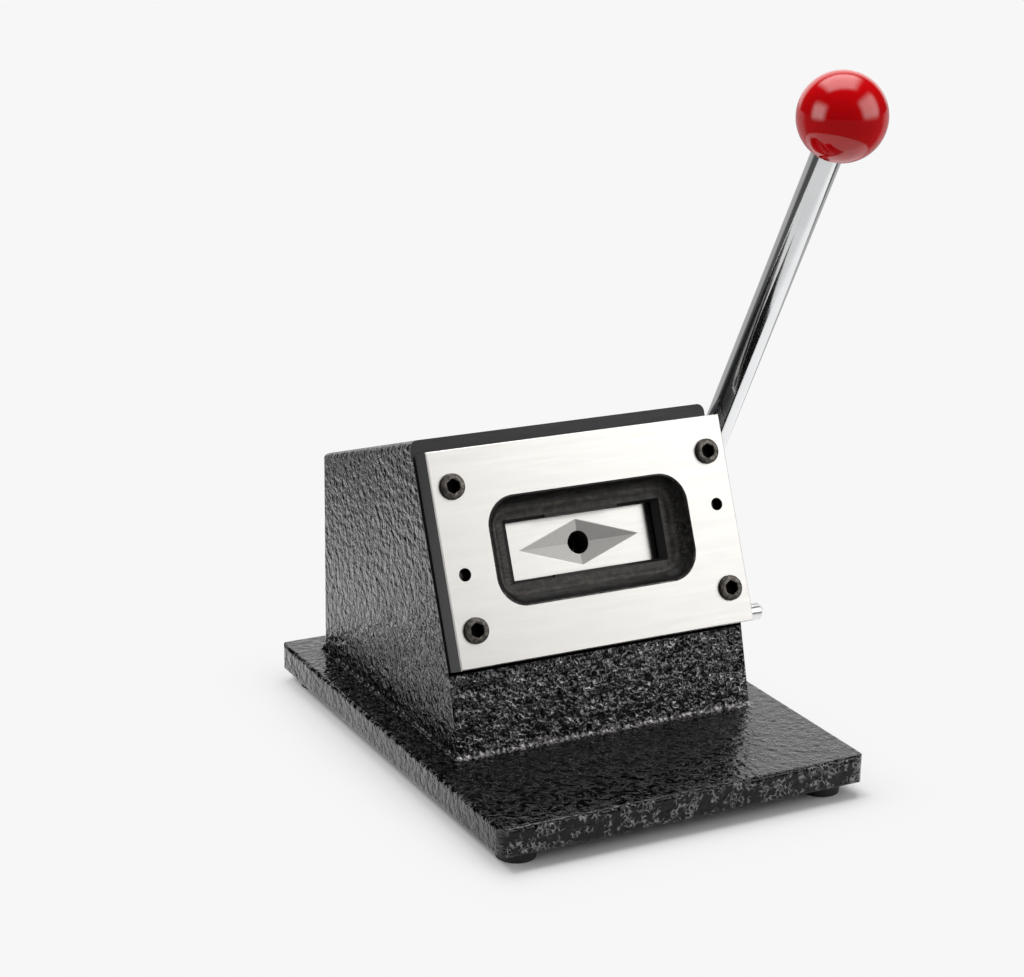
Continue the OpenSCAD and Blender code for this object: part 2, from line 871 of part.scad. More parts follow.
// Room of the cam's key, on the thick side of the cam
module key_room(gap) {
    on_cam()
        translate([-key_len / 2 - gap, shaft_d / 2 - key_w / 2 - gap, -key_w / 2 - gap])
            cube([key_len + 2 * gap, key_w + 2 * gap, key_w + 2 * gap]);
}

module eccentric_cam() {
    color("#8a8a8c")
        difference() {
            on_cam()
                translate([0, cam_throw, 0])
                    cross_bar(2 * cam_r, -cam_w / 2, cam_w / 2);
            on_cam()
                cross_bar(shaft_d + 2 * seat_gap, -cam_w / 2 - cut_over, cam_w / 2 + cut_over);
            key_room(seat_gap);
        }
}

module cam_key() {
    color("silver")
        key_room(0);
}

// Tube on the shaft from the cam to the bushing, left (side -1) or right (side 1)
module cam_spacer(side) {
    x0 = min(side * tube_start, side * tube_end);
    x1 = max(side * tube_start, side * tube_end);
    color("#8a8a8c")
        on_shaft()
            difference() {
                cross_bar(tube_d, x0, x1);
                cross_bar(shaft_d + 2 * seat_gap, x0 - cut_over, x1 + cut_over);
            }
}

// Pin across the hub, square to the rod
module hub_pin_bar(d, len) {
    rotate([90, 0, 0])
        cylinder(d = d, h = len, center = true);
}

module lever_hub() {
    color("#303032")
        on_lever()
            difference() {
                union() {
                    cross_cone(hub_d - 2 * hub_chamfer, hub_d, -hub_w / 2, hub_chamfer - hub_w / 2);
                    cross_bar(hub_d, hub_chamfer - hub_w / 2, hub_w / 2 - hub_chamfer);
                    cross_cone(hub_d, hub_d - 2 * hub_chamfer, hub_w / 2 - hub_chamfer, hub_w / 2);
                }
                cross_bar(shaft_d + 2 * seat_gap, -hub_w, hub_w);
                bar(rod_d + 2 * seat_gap, hub_flat, hub_d);
                bar(rod_foot_d + 2 * seat_gap, 0, hub_d);
                hub_pin_bar(hub_pin_d + 2 * seat_gap, hub_d + cut_over);
            }
}

module hub_pin() {
    color("silver")
        on_lever()
            hub_pin_bar(hub_pin_d, hub_d - 2 * end_gap);
}

module lever_rod() {
    color("silver")
        on_lever() {
            bar(rod_d, hub_flat, rod_top);
            bar(rod_foot_d, hub_flat - rod_foot_l, hub_flat + cut_over);
            bar(rod_top_d, rod_top - cut_over, rod_top + insert_l - end_gap);
        }
}

module ball_knob() {
    color("firebrick")
        on_lever()
            translate([0, 0, lever_len])
                difference() {
                    sphere(d = ball_d);
                    bar(ball_d, -ball_d, -ball_flat);
                    bar(insert_d + 2 * seat_gap, -ball_d, insert_l - ball_flat);
                }
}

module knob_insert() {
    color("#b5a642")
        on_lever()
            difference() {
                bar(insert_d, rod_top, rod_top + insert_l);
                bar(rod_top_d + 2 * seat_gap, rod_top - cut_over, rod_top + insert_l + cut_over);
            }
}

module ram() {
    color("#8a8a8c")
        on_die()
            difference() {
                block(ram_w, ram_h, -ram_back, -ram_front);
                for (side = [-1, 1])
                    translate([side * post_x, 0, 0]) {
                        bar(pocket_d, -ram_front - pocket_depth, cut_over - ram_front);
                        bar(post_d + 2 * post_gap, -ram_back - cut_over, -ram_front);
                    }
                bar(punch_screw_d + 2 * seat_gap, -ram_front - m_thread, cut_over - ram_front);
                translate([0, 0, -ram_back])
                    rotate([180, 0, 0])
                        at_wear_screws()
                            bar(flat_d + 2 * seat_gap, -m_thread, cut_over);
            }
}

module punch() {
    color("gainsboro")
        on_die()
            difference() {
                block(punch_w, punch_h, -ram_front, -punch_back);
                translate([0, 0, -punch_back])
                    diamond_cut();
                bar(punch_screw_d + 2 * seat_gap, -ram_front - cut_over, -punch_back);
                bar(punch_hole_d, -punch_back - punch_hole_depth, -punch_back + cut_over);
            }
}

// Double pyramid whose middle is the diamond in the punch's face
module diamond_cut() {
    a = diamond_w / 2;
    b = diamond_h / 2;
    polyhedron(
        points = [[a, 0, 0], [0, b, 0], [-a, 0, 0], [0, -b, 0], [0, 0, diamond_depth], [0, 0, -diamond_depth]],
        faces = [for (i = [0 : 3]) each [[i, 4, (i + 1) % 4], [i, (i + 1) % 4, 5]]]
    );
}

module punch_screw() {
    seat = punch_back + punch_hole_depth;
    color("#303032")
        on_die()
            translate([0, 0, -seat])
                cap_screw(punch_screw_d, ram_front - seat + m_thread - end_gap, punch_head_d, punch_head_h,
                    punch_hex);
}

module wear_plate() {
    color("#8a8a8c")
        on_die()
            difference() {
                block(wear_w, wear_h, -wear_back, -ram_back);
                translate([0, 0, -wear_back])
                    rotate([180, 0, 0])
                        at_wear_screws()
                            flat_hole(wear_t + cut_over);
            }
}

module wear_plate_screws() {
    color("#303032")
        on_die()
            translate([0, 0, -wear_back])
                rotate([180, 0, 0])
                    at_wear_screws()
                        flat_screw(wear_t + m_thread - end_gap);
}

base_plate();
rubber_foot(-1, -1);  // foot_front_left
rubber_foot(1, -1);  // foot_front_right
rubber_foot(-1, 1);  // foot_rear_left
rubber_foot(1, 1);  // foot_rear_right
foot_screws();
housing();
housing_screws();
guide_plate();
guide_screws();
guide_post(-1);  // left_guide_post
guide_post(1);  // right_guide_post
return_spring(-1);  // left_return_spring
return_spring(1);  // right_return_spring
spacer(-1);  // left_spacer
spacer(1);  // right_spacer
die_plate();
die_screws();
dowel_pins();
stop_pin();
left_bushing();
right_bushing();
cam_shaft();
eccentric_cam();
cam_key();
cam_spacer(-1);  // left_cam_spacer
cam_spacer(1);  // right_cam_spacer
lever_hub();
hub_pin();
lever_rod();
ball_knob();
knob_insert();
ram();
punch();
punch_screw();
wear_plate();
wear_plate_screws();
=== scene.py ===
"""Looks of a hand-lever photo strip cutter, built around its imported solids.

Lengths are in metres, in the frame of the solids: +Z up, +Y to the back, and the
origin on the table under the middle of the base plate. "Out" is along the ram's
travel, out of the sloping die face, and "up the face" runs up that face.
"""

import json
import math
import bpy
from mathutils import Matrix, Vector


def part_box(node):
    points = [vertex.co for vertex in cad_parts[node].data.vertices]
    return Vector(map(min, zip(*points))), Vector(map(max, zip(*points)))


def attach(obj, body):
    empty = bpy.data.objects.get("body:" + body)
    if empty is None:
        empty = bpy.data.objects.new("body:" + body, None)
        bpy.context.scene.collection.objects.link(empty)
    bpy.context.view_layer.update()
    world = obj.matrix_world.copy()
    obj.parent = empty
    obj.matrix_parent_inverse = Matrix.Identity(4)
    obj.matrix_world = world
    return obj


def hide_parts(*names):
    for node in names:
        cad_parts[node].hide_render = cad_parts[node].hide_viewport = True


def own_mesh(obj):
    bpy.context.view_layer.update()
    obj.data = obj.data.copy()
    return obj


bl_info = {
    "name": "Photo strip cutter",
    "version": (1, 0, 0),
    "blender": (4, 5, 0),
    "location": "View3D > Sidebar > Cutter",
    "description": "Finishes, fine pieces and studio stage of a hand-lever photo strip cutter",
    "category": "Object",
}

import bmesh
import bpy
import numpy as np
from bpy.props import FloatProperty, FloatVectorProperty, IntProperty, PointerProperty
from mathutils import Matrix, Vector

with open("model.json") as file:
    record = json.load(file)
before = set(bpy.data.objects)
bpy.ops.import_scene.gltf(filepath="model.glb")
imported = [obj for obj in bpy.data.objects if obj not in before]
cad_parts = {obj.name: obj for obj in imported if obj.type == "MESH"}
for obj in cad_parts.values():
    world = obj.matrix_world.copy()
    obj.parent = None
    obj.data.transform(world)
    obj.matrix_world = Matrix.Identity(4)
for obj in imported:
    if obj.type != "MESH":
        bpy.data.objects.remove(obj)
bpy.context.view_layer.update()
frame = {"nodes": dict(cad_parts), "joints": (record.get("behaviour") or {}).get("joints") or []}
JOINTS = {joint["name"]: joint for joint in frame["joints"]}
ACROSS = np.array([1.0, 0.0, 0.0])
OUT = np.array(JOINTS["ram_slide"]["axis"])
UP_FACE = np.array([0.0, OUT[2], -OUT[1]])
UP = (0, 0, 1)
FORWARD = (0, -1, 0)


def node_points(name):
    """Corners of a solid's mesh, one row each."""
    vertices = frame["nodes"][name].data.vertices
    flat = np.zeros(len(vertices) * 3, np.float32)
    vertices.foreach_get("co", flat)
    return flat.reshape(-1, 3).astype(float)


def span(name, direction):
    """Lowest and highest reach of a solid along a direction."""
    along = node_points(name) @ direction
    return float(along.min()), float(along.max())


FACE_LEVEL = span("left_spacer", OUT)[0]
PLATE_FRONT = span("die_plate", OUT)[1] - FACE_LEVEL
PUNCH_FACE = span("punch", OUT)[1] - FACE_LEVEL
PLATE_LOW, PLATE_HIGH = span("die_plate", UP_FACE)
DIE_LEVEL = (PLATE_LOW + PLATE_HIGH) / 2
DIE_ORIGIN = DIE_LEVEL * UP_FACE + FACE_LEVEL * OUT
FOOT_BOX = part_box("housing")
WHITE = (1.0, 1.0, 1.0, 1.0)
BLACK = (0.0, 0.0, 0.0, 1.0)

# Cosines between which a face comes to count as turned up, forward or sideways
TURNED = (0.5, 0.9)
SIDEWAYS = (0.4, 0.9)


# Settings

def colour(name, default, description):
    """A colour that the user can change."""
    return FloatVectorProperty(name=name, description=description, subtype="COLOR",
                               min=0, max=1, default=default)


def length(name, default, description, least=0.0):
    """A length that the user can change."""
    return FloatProperty(name=name, description=description, unit="LENGTH",
                         min=least, default=default)


def share(name, default, description):
    """A share of one that the user can change."""
    return FloatProperty(name=name, description=description, subtype="FACTOR",
                         min=0, max=1, default=default)


def strength(name, default, description):
    """A brightness without an upper limit that the user can change."""
    return FloatProperty(name=name, description=description, min=0, default=default)


class CutterPaint(bpy.types.PropertyGroup):
    """The black hammer finish of the housing and the base plate."""

    color: colour("Colour", (0.0018, 0.0018, 0.002), "Colour of the paint")
    fleck: colour("Fleck", (0.42, 0.40, 0.40), "Colour of the metal flakes on the ridges")
    spacing: length("Dimple spacing", 0.0021, "Distance between neighbouring dimples", 0.0005)
    depth: length("Dimple depth", 0.0002, "Height of the ridges over the dimples")
    bead: length("Paint bead", 0.0017, "Size of the bead of paint at the housing's foot", 0.0002)
    machined: colour("Machined face", (0.014, 0.014, 0.015), "Colour of the smooth blackened faces")


class CutterMetal(bpy.types.PropertyGroup):
    """Colours of the bare and plated metal, and of the knob and feet."""

    ground: colour("Ground steel", (0.70, 0.686, 0.66), "Colour of the ground die and punch")
    chrome: colour("Chrome", (0.68, 0.685, 0.692), "Colour of the lever's rod and the stop pin")
    steel: colour("Turned steel", (0.55, 0.55, 0.55), "Colour of pins, posts and springs")
    hard: colour("Hardened steel", (0.13, 0.13, 0.135), "Colour of the dark hardened pieces")
    oxide: colour("Black oxide", (0.042, 0.037, 0.032), "Colour of the blackened screws and hub")
    bronze: colour("Bronze", (0.56, 0.38, 0.18), "Colour of the bushings and the knob's insert")
    scale: colour("Window", (0.0135, 0.0115, 0.0098), "Colour of the window's dark rough cove")
    knob: colour("Knob", (0.72, 0.002, 0.005), "Colour of the ball knob")
    rubber: colour("Rubber", (0.012, 0.012, 0.012), "Colour of the feet")


class CutterWindow(bpy.types.PropertyGroup):
    """Sizes of the window's cove and of the screw heads beside it."""

    rim_w: length("Rim width", 0.0695, "Width of the cove's inner rim")
    rim_h: length("Rim height", 0.0247, "Height of the cove's inner rim")
    rim_r: length("Rim corner", 0.0012, "Corner radius of the cove's inner rim")
    cove_w: length("Cove width", 0.0085, "Width of the cove round the rim")
    cove_depth: length("Cove depth", 0.007, "Depth of the cove below the plate's front")
    corner: length("Window corner", 0.012, "Corner radius of the window at the front")
    roughness: length("Cast roughness", 0.00004, "Height of the cove's rough waves")
    ridge: length("Cove ridge", 0.00025, "Height of the ridge between the cove's floor and wall")
    knurls: IntProperty(name="Knurls", description="Ridges round a screw's head", min=12, default=48)
    hexagon: length("Hexagon", 0.005, "Socket of the screws, across flats")


class CutterStage(bpy.types.PropertyGroup):
    """The camera, the floor and the three soft boxes."""

    camera: FloatVectorProperty(name="Camera", description="Place of the camera",
                                subtype="TRANSLATION", default=(-0.44622, -0.80938, 0.39612))
    target: FloatVectorProperty(name="Target", description="Point that the camera looks at",
                                subtype="TRANSLATION", default=(-0.02265, -0.00014, 0.10746))
    roll: FloatProperty(name="Roll", description="Turn of the camera about its own axis",
                        subtype="ANGLE", default=0.0159)
    lens: FloatProperty(name="Lens", description="Focal length on a 36 mm sensor, in mm",
                        default=86.76)
    floor: share("Floor", 0.9, "Brightness of the pale floor")
    shadow: share("Shadow", 0.73, "Strength of the shadow beside the base")
    sweep: strength("Sweep", 0.52, "Brightness of the ground behind the object")
    backdrop: share("Backdrop", 0.93, "Brightness of the white behind the object")
    mirrored: strength("Mirrored white", 1.22,
                       "Brightness of the white behind, as polished faces mirror it")
    apron: share("Apron", 0.9, "Brightness of the floor in front, as polished faces mirror it")
    room: strength("Room", 0.02, "Brightness of the dim room")
    ground: strength("Ground", 0.1, "Brightness of the dim ground beyond the floor")
    right: strength("Right box", 2.9, "Radiance of the right soft box")
    left: strength("Left box", 3.2, "Radiance of the left soft box")
    top: strength("Top box", 3.4, "Radiance of the soft box overhead")


# Meshes from grids

def quads_of(rows, columns, wrap_rows, wrap_columns):
    """Corner numbers of the faces between neighbouring rows and columns of a grid."""
    row = np.arange(rows if wrap_rows else rows - 1)[:, None]
    column = np.arange(columns if wrap_columns else columns - 1)[None, :]
    next_row = (row + 1) % rows
    next_column = (column + 1) % columns
    corners = [row * columns + column, next_row * columns + column,
               next_row * columns + next_column, row * columns + next_column]
    return np.stack(np.broadcast_arrays(*corners), -1).reshape(-1, 4)


def build_piece(name, grids, material, body, wrap_rows=True, wrap_columns=True, crease=40):
    """One mesh object from grids of points (rows, columns, 3) that rides on a body.

    Doubles are merged, so that it is closed, and its faces are turned outwards.
    """
    points, faces, start = [], [], 0
    for grid in grids:
        rows, columns = grid.shape[:2]
        points.append(grid.reshape(-1, 3))
        faces.append(quads_of(rows, columns, wrap_rows, wrap_columns) + start)
        start += rows * columns
    mesh = bpy.data.meshes.new(name)
    mesh.from_pydata(np.concatenate(points), [], np.concatenate(faces))
    work = bmesh.new()
    work.from_mesh(mesh)
    bmesh.ops.remove_doubles(work, verts=work.verts, dist=1e-7)
    bmesh.ops.recalc_face_normals(work, faces=work.faces)
    work.to_mesh(mesh)
    work.free()
    mesh.shade_smooth()
    mesh.set_sharp_from_angle(angle=math.radians(crease))
    mesh.materials.append(material)
    piece = bpy.data.objects.new(name, mesh)
    bpy.context.scene.collection.objects.link(piece)
    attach(piece, body)
    return piece


def square_loop(corner_steps, side_steps):
    """Signs s and outward unit vectors u of a round-cornered square, taken round once.

    A loop of half sizes h and corner radius r is then s * (h - r) + r * u: on a corner
    s stays put while u turns a quarter, and on a side u stays put while s moves on.
    """
    turn = np.linspace(0, math.pi / 2, corner_steps)
    slide = np.linspace(0, 1, side_steps + 2)[1:-1]
    signs = np.array([[1, 1], [-1, 1], [-1, -1], [1, -1]], float)
    places, angles = [], []
    for k in range(4):
        here, after = signs[k], signs[(k + 1) % 4]
        places += [np.tile(here, (corner_steps, 1)), here + slide[:, None] * (after - here)]
        angles += [k * math.pi / 2 + turn, np.full(side_steps, (k + 1) * math.pi / 2)]
    angle = np.concatenate(angles)
    return np.concatenate(places), np.stack([np.cos(angle), np.sin(angle)], -1)


def waves(seed, u, v, count, low, high):
    """Smooth noise of about unit height: sines of u and v with random pitches and phases, added."""
    rng = np.random.default_rng(seed)
    pitch = rng.uniform(low, high, (count, 2)) * rng.choice([-1, 1], (count, 2))
    phase = rng.uniform(0, 2 * math.pi, count)
    angle = u[..., None] * pitch[:, 0] + v[..., None] * pitch[:, 1] + phase
    return np.sin(angle).sum(-1) / math.sqrt(count / 2)


def on_die(across, up, out):
    """Points of the die's own frame, in the frame of the solids."""
    aside = across[..., None] * ACROSS
    return DIE_ORIGIN + aside + up[..., None] * UP_FACE + out[..., None] * OUT


# Shader nodes

def add(tree, kind, inputs=None, **settings):
    """A new node, with inputs given by name or number as values or as other nodes' sockets."""
    node = tree.nodes.new("ShaderNode" + kind)
    for name, value in settings.items():
        setattr(node, name, value)
    for key, value in (inputs or {}).items():
        if isinstance(value, bpy.types.NodeSocket):
            tree.links.new(value, node.inputs[key])
        else:
            node.inputs[key].default_value = value
    return node


def calc(tree, operation, *values):
    """Result of a Math node on numbers or sockets."""
    return add(tree, "Math", dict(enumerate(values)), operation=operation).outputs[0]


def times(tree, first, second):
    """Product of two numbers or sockets."""
    return calc(tree, "MULTIPLY", first, second)


def ease(tree, value, low, high, start=0.0, end=1.0):
    """Smooth step of a value from start, at low, to end, at high."""
    inputs = {"Value": value, "From Min": low, "From Max": high, "To Min": start, "To Max": end}
    return add(tree, "MapRange", inputs, interpolation_type="SMOOTHSTEP").outputs["Result"]


def blend(tree, factor, first, second):
    """Number between two numbers, as a socket."""
    return add(tree, "Mix", {0: factor, 2: first, 3: second}, data_type="FLOAT").outputs[0]


def tint(tree, factor, first, second):
    """Colour between two colours, as a socket."""
    return add(tree, "Mix", {0: factor, 6: first, 7: second}, data_type="RGBA").outputs[2]


def vector_calc(tree, operation, *vectors):
    """A Vector Math node on vectors or sockets."""
    return add(tree, "VectorMath", dict(enumerate(vectors)), operation=operation)


def dot(tree, vector, direction):
    """Reach of a vector along a fixed direction."""
    return vector_calc(tree, "DOT_PRODUCT", vector, tuple(direction)).outputs["Value"]


def flat_vector(tree, x, y):
    """Vector of two numbers."""
    return add(tree, "CombineXYZ", {0: x, 1: y}).outputs[0]


def reach_of(tree, vector):
    """Length of a vector."""
    return vector_calc(tree, "LENGTH", vector).outputs["Value"]


def facing(tree, direction):
    """Cosine between the way that a face looks and a fixed direction."""
    return dot(tree, add(tree, "NewGeometry").outputs["True Normal"], direction)


def noise(tree, vector, scale, detail=2.0, rough=0.5):
    """Value of a Noise texture."""
    inputs = {"Vector": vector, "Scale": scale, "Detail": detail, "Roughness": rough}
    return add(tree, "TexNoise", inputs).outputs["Fac"]


def place(tree):
    """Object coordinates, which are the frame's own."""
    return add(tree, "TexCoord").outputs["Object"]


def bump(tree, height, distance):
    """Normal of a height that is worth a distance."""
    return add(tree, "Bump", {"Height": height, "Distance": distance}).outputs["Normal"]


def group(name, inputs, outputs, build):
    """A node group; its build function gets the tree and the input sockets, and yields the outputs."""
    tree = bpy.data.node_groups.new(name, "ShaderNodeTree")
    kind = "NodeSocketFloat"
    for label, default in inputs.items():
        socket = tree.interface.new_socket(label, in_out="INPUT", socket_type=kind)
        socket.default_value = default
    for label in outputs:
        tree.interface.new_socket(label, in_out="OUTPUT", socket_type=kind)
    entry = tree.nodes.new("NodeGroupInput")
    leave = tree.nodes.new("NodeGroupOutput")
    for label, socket in zip(outputs, build(tree, entry.outputs)):
        tree.links.new(socket, leave.inputs[label])


def use(tree, name, **inputs):
    """A placed group's output sockets."""
    node = add(tree, "Group", node_tree=bpy.data.node_groups[name])
    for label, value in inputs.items():
        node.inputs[label].default_value = value
    return node.outputs


def build_die_frame(tree, _):
    """Across, up and out of the die's own frame."""
    here = place(tree)
    yield dot(tree, here, ACROSS)
    yield calc(tree, "SUBTRACT", dot(tree, here, UP_FACE), DIE_LEVEL)
    yield calc(tree, "SUBTRACT", dot(tree, here, OUT), FACE_LEVEL)


def build_hammer(tree, inputs):
    """Ridges between Voronoi cells whose places are shaken by noise, a ripple, and broken flakes."""
    here = place(tree)
    pitch = calc(tree, "DIVIDE", 1.0, inputs["Spacing"])
    coarse = {"Vector": here, "Scale": times(tree, pitch, 0.9), "Detail": 1.0}
    shake = add(tree, "TexNoise", coarse).outputs["Color"]
    centred = vector_calc(tree, "SUBTRACT", shake, (0.5, 0.5, 0.5)).outputs[0]
    reach = times(tree, inputs["Spacing"], 1.4)
    moved = add(tree, "VectorMath", {0: centred, "Scale": reach}, operation="SCALE").outputs[0]
    shaken = vector_calc(tree, "ADD", here, moved).outputs[0]
    cells = add(tree, "TexVoronoi", {"Vector": shaken, "Scale": pitch}, feature="DISTANCE_TO_EDGE")
    ridge = ease(tree, cells.outputs["Distance"], 0.0, 0.3, 1.0, 0.0)
    patch = noise(tree, here, times(tree, pitch, 0.6), 1.0)
    raised = times(tree, ridge, ease(tree, patch, 0.35, 0.6, 0.2, 1.0))
    yield raised
    yield noise(tree, here, times(tree, pitch, 0.65), 1.0)
    broken = noise(tree, here, times(tree, pitch, 1.5), 1.0)
    yield times(tree, ease(tree, raised, 0.5, 0.95), ease(tree, broken, 0.42, 0.62, 0.1, 1.0))


def build_streaks(tree, inputs):
    """Fine lines that run across the die, from noise drawn out along them."""
    at = use(tree, "die frame")
    long = calc(tree, "DIVIDE", at["Across"], inputs["Length"])
    fine = calc(tree, "DIVIDE", at["Up"], inputs["Width"])
    deep = calc(tree, "DIVIDE", at["Out"], inputs["Length"])
    drawn = add(tree, "CombineXYZ", {0: long, 1: fine, 2: deep}).outputs[0]
    yield noise(tree, drawn, 1.0, 3.0, 0.65)


def build_smudge(tree, inputs):
    """Cloudy wear: broad noise broken up by finer noise."""
    here = place(tree)
    broad = noise(tree, here, calc(tree, "DIVIDE", 1.0, inputs["Size"]), 4.0, 0.6)
    yield ease(tree, broad, 0.38, 0.66)


def build_grit(tree, inputs):
    """Fine grain with scattered pits."""
    here = place(tree)
    pitch = calc(tree, "DIVIDE", 1.0, inputs["Size"])
    yield noise(tree, here, pitch, 4.0, 0.7)
    spots = add(tree, "TexVoronoi", {"Vector": here, "Scale": times(tree, pitch, 0.35)})
    yield ease(tree, spots.outputs["Distance"], 0.12, 0.3, 1.0, 0.0)


def make_groups():
    """The effects that several finishes share."""
    group("die frame", {}, ("Across", "Up", "Out"), build_die_frame)
    group("hammer", {"Spacing": 0.0021}, ("Ridge", "Ripple", "Fleck"), build_hammer)
    group("streaks", {"Length": 0.01, "Width": 0.0005}, ("Line",), build_streaks)
    group("smudge", {"Size": 0.02}, ("Smudge",), build_smudge)
    group("grit", {"Size": 0.0006}, ("Grain", "Pit"), build_grit)


def new_finish(name, **sockets):
    """A material with its shader's plain values set; the tree and the shader come with it."""
    material = bpy.data.materials.new(name)
    material.use_nodes = True
    tree = material.node_tree
    shader = tree.nodes["Principled BSDF"]
    for label, value in sockets.items():
        shader.inputs[label.replace("_", " ")].default_value = value
    return material, tree, shader


def feed(tree, shader, **sockets):
    """Links varying values to the shader's sockets."""
    for label, socket in sockets.items():
        tree.links.new(socket, shader.inputs[label.replace("_", " ")])


def rgba(color, level=1.0):
    """A colour property at a level of its brightness, with full alpha."""
    return (*[c * level for c in color], 1.0)


def hammer_sockets(tree, paint, spread=1.0, shade=1.0):
    """Colour, roughness, normal and metal share of the hammer finish.

    It levels out on faces that look up. Where its flakes show is painted light: they show on
    faces that look to the front or back, where the lamps make them glint, few on faces that look
    sideways and none on faces that look up. A spread below 1 widens the flakes, and a shade
    below 1 darkens them.
    """
    hammer = use(tree, "hammer", Spacing=paint.spacing)
    smudge = use(tree, "smudge", Size=0.03)["Smudge"]
    sideways = calc(tree, "ABSOLUTE", facing(tree, ACROSS))
    level = ease(tree, facing(tree, UP), *TURNED)
    ridge = blend(tree, level, hammer["Ridge"], times(tree, hammer["Fleck"], 1.6))
    swell = times(tree, ease(tree, sideways, *SIDEWAYS, 3.4, 6.2),
                  ease(tree, level, 0.0, 1.0, 1.0, 0.65))
    height = calc(tree, "ADD", ridge, times(tree, hammer["Ripple"], swell))
    # Painted glints: flakes show on faces turned to the front or back, few on faces turned sideways,
    # none on faces turned up.
    painted_glint_mask = times(tree, calc(tree, "SUBTRACT", 1.0, level),
                  ease(tree, sideways, *SIDEWAYS, 1.0, 0.15))
    fleck = times(tree, calc(tree, "POWER", hammer["Fleck"], spread), painted_glint_mask)
    color = tint(tree, fleck, rgba(paint.color), rgba(paint.fleck, shade))
    gloss = times(tree, ease(tree, smudge, 0.0, 1.0, 0.08, 0.13),
                  ease(tree, level, 0.0, 1.0, 1.0, 0.4))
    rough = calc(tree, "MULTIPLY_ADD", fleck, 0.2, gloss)
    return color, rough, bump(tree, height, paint.depth), times(tree, fleck, 0.7)


def hammer_finish(paint):
    """Glossy black hammer paint with wide grey flakes; between them, faces turned forward get a share
    of black metal, which darkens their reflection.
    """
    material, tree, shader = new_finish("hammer_paint", IOR=1.52)
    color, rough, normal, flakes = hammer_sockets(tree, paint, spread=0.5, shade=0.5)
    # Faces turned forward get a share of black metal, so that they reflect less and look darker.
    dull = ease(tree, facing(tree, FORWARD), *TURNED, 0.0, 0.55)
    feed(tree, shader, Base_Color=color, Roughness=rough, Normal=normal,
         Metallic=calc(tree, "MAXIMUM", flakes, dull))
    return material


def housing_finish(paint):
    """Hammer paint, but smooth and blackened where the die face was machined.

    A band of painted shadow, near black and reflecting almost nothing, runs along the lower end of
    that face, under the die plate's edge.
    """
    material, tree, shader = new_finish("hammer_paint_machined_face", IOR=1.57)
    color, rough, normal, flakes = hammer_sockets(tree, paint)
    at = use(tree, "die frame")
    bottom = PLATE_LOW - DIE_LEVEL
    above = ease(tree, at["Up"], bottom - 0.0008, bottom - 0.0002)
    bare = times(tree, ease(tree, at["Out"], -0.0006, -0.0002), above)
    line = use(tree, "streaks", Length=0.012, Width=0.0006)["Line"]
    smooth = ease(tree, line, 0.3, 0.7, 0.52, 0.6)
    # Painted shadow: a black band just under the die plate's lower edge, standing for the shade of the
    # plate's overhang.
    painted_shadow_under_plate = times(tree, ease(tree, at["Up"], bottom - 0.0016, bottom - 0.0011),
                 ease(tree, at["Up"], bottom + 0.0001, bottom + 0.0003, 1.0, 0.0))
    painted_shadow_under_plate = times(tree, painted_shadow_under_plate, ease(tree, at["Out"], -0.004, -0.002))
    color = tint(tree, bare, color, rgba(paint.machined))
    # The painted shadow takes a near black colour here and a full metal share below, so that it
    # reflects almost nothing.
    color = tint(tree, painted_shadow_under_plate, color, rgba(paint.color, 0.1))
    plainer = calc(tree, "MAXIMUM", bare, painted_shadow_under_plate)
    rough = blend(tree, plainer, rough, smooth)
    plain = add(tree, "NewGeometry").outputs["Normal"]
    normal = add(tree, "Mix", {0: plainer, 4: normal, 5: plain}, data_type="VECTOR").outputs[1]
    flakes = times(tree, flakes, calc(tree, "SUBTRACT", 1.0, plainer))
    feed(tree, shader, Base_Color=color, Roughness=rough, Normal=normal,
         Metallic=calc(tree, "MAXIMUM", flakes, painted_shadow_under_plate))
    return material


def bead_finish(paint):
    """Hammer paint whose light flakes crowd along the front foot only: partly flakes, partly a painted
    highlight on the bead.
    """
    material, tree, shader = new_finish("hammer_paint_bead", IOR=1.57)
    spot = add(tree, "SeparateXYZ", {0: place(tree)}).outputs
    grit = use(tree, "grit", Size=0.0016)
    foot = FOOT_BOX[0][1]
    # Partly real flakes, partly painted highlight: the lighter flakes sit only on the front of the
    # bead, where it catches the light.
    front = ease(tree, spot["Y"], foot - 0.0005, foot + 0.001, 1.0, 0.0)
    flakes = times(tree, ease(tree, grit["Grain"], 0.42, 0.58), front)
    color = tint(tree, flakes, rgba(paint.color), rgba(paint.fleck, 1.28))
    feed(tree, shader, Base_Color=color, Roughness=ease(tree, flakes, 0.0, 1.0, 0.12, 0.4),
         Metallic=times(tree, flakes, 0.7), Normal=bump(tree, grit["Grain"], paint.depth))
    return material


def ground_sockets(tree, metal):
    """Colour, roughness and normal of a ground steel face with fine lines across it."""
    line = use(tree, "streaks", Length=0.02, Width=0.0004)["Line"]
    wide = use(tree, "streaks", Length=0.06, Width=0.004)["Line"]
    worn = tint(tree, ease(tree, wide, 0.3, 0.7), rgba(metal.ground), rgba(metal.ground, 0.95))
    lined = tint(tree, ease(tree, line, 0.4, 0.75), worn, rgba(metal.ground, 0.97))
    rough = ease(tree, line, 0.3, 0.7, 0.42, 0.46)
    return lined, rough, bump(tree, line, 0.000002)


def outside(tree, x, y, half_x, half_y):
    """Distance outside a rectangle about the origin, zero inside it."""
    over_x = calc(tree, "MAXIMUM", calc(tree, "SUBTRACT", calc(tree, "ABSOLUTE", x), half_x), 0.0)
    over_y = calc(tree, "MAXIMUM", calc(tree, "SUBTRACT", calc(tree, "ABSOLUTE", y), half_y), 0.0)
    return reach_of(tree, flat_vector(tree, over_x, over_y))


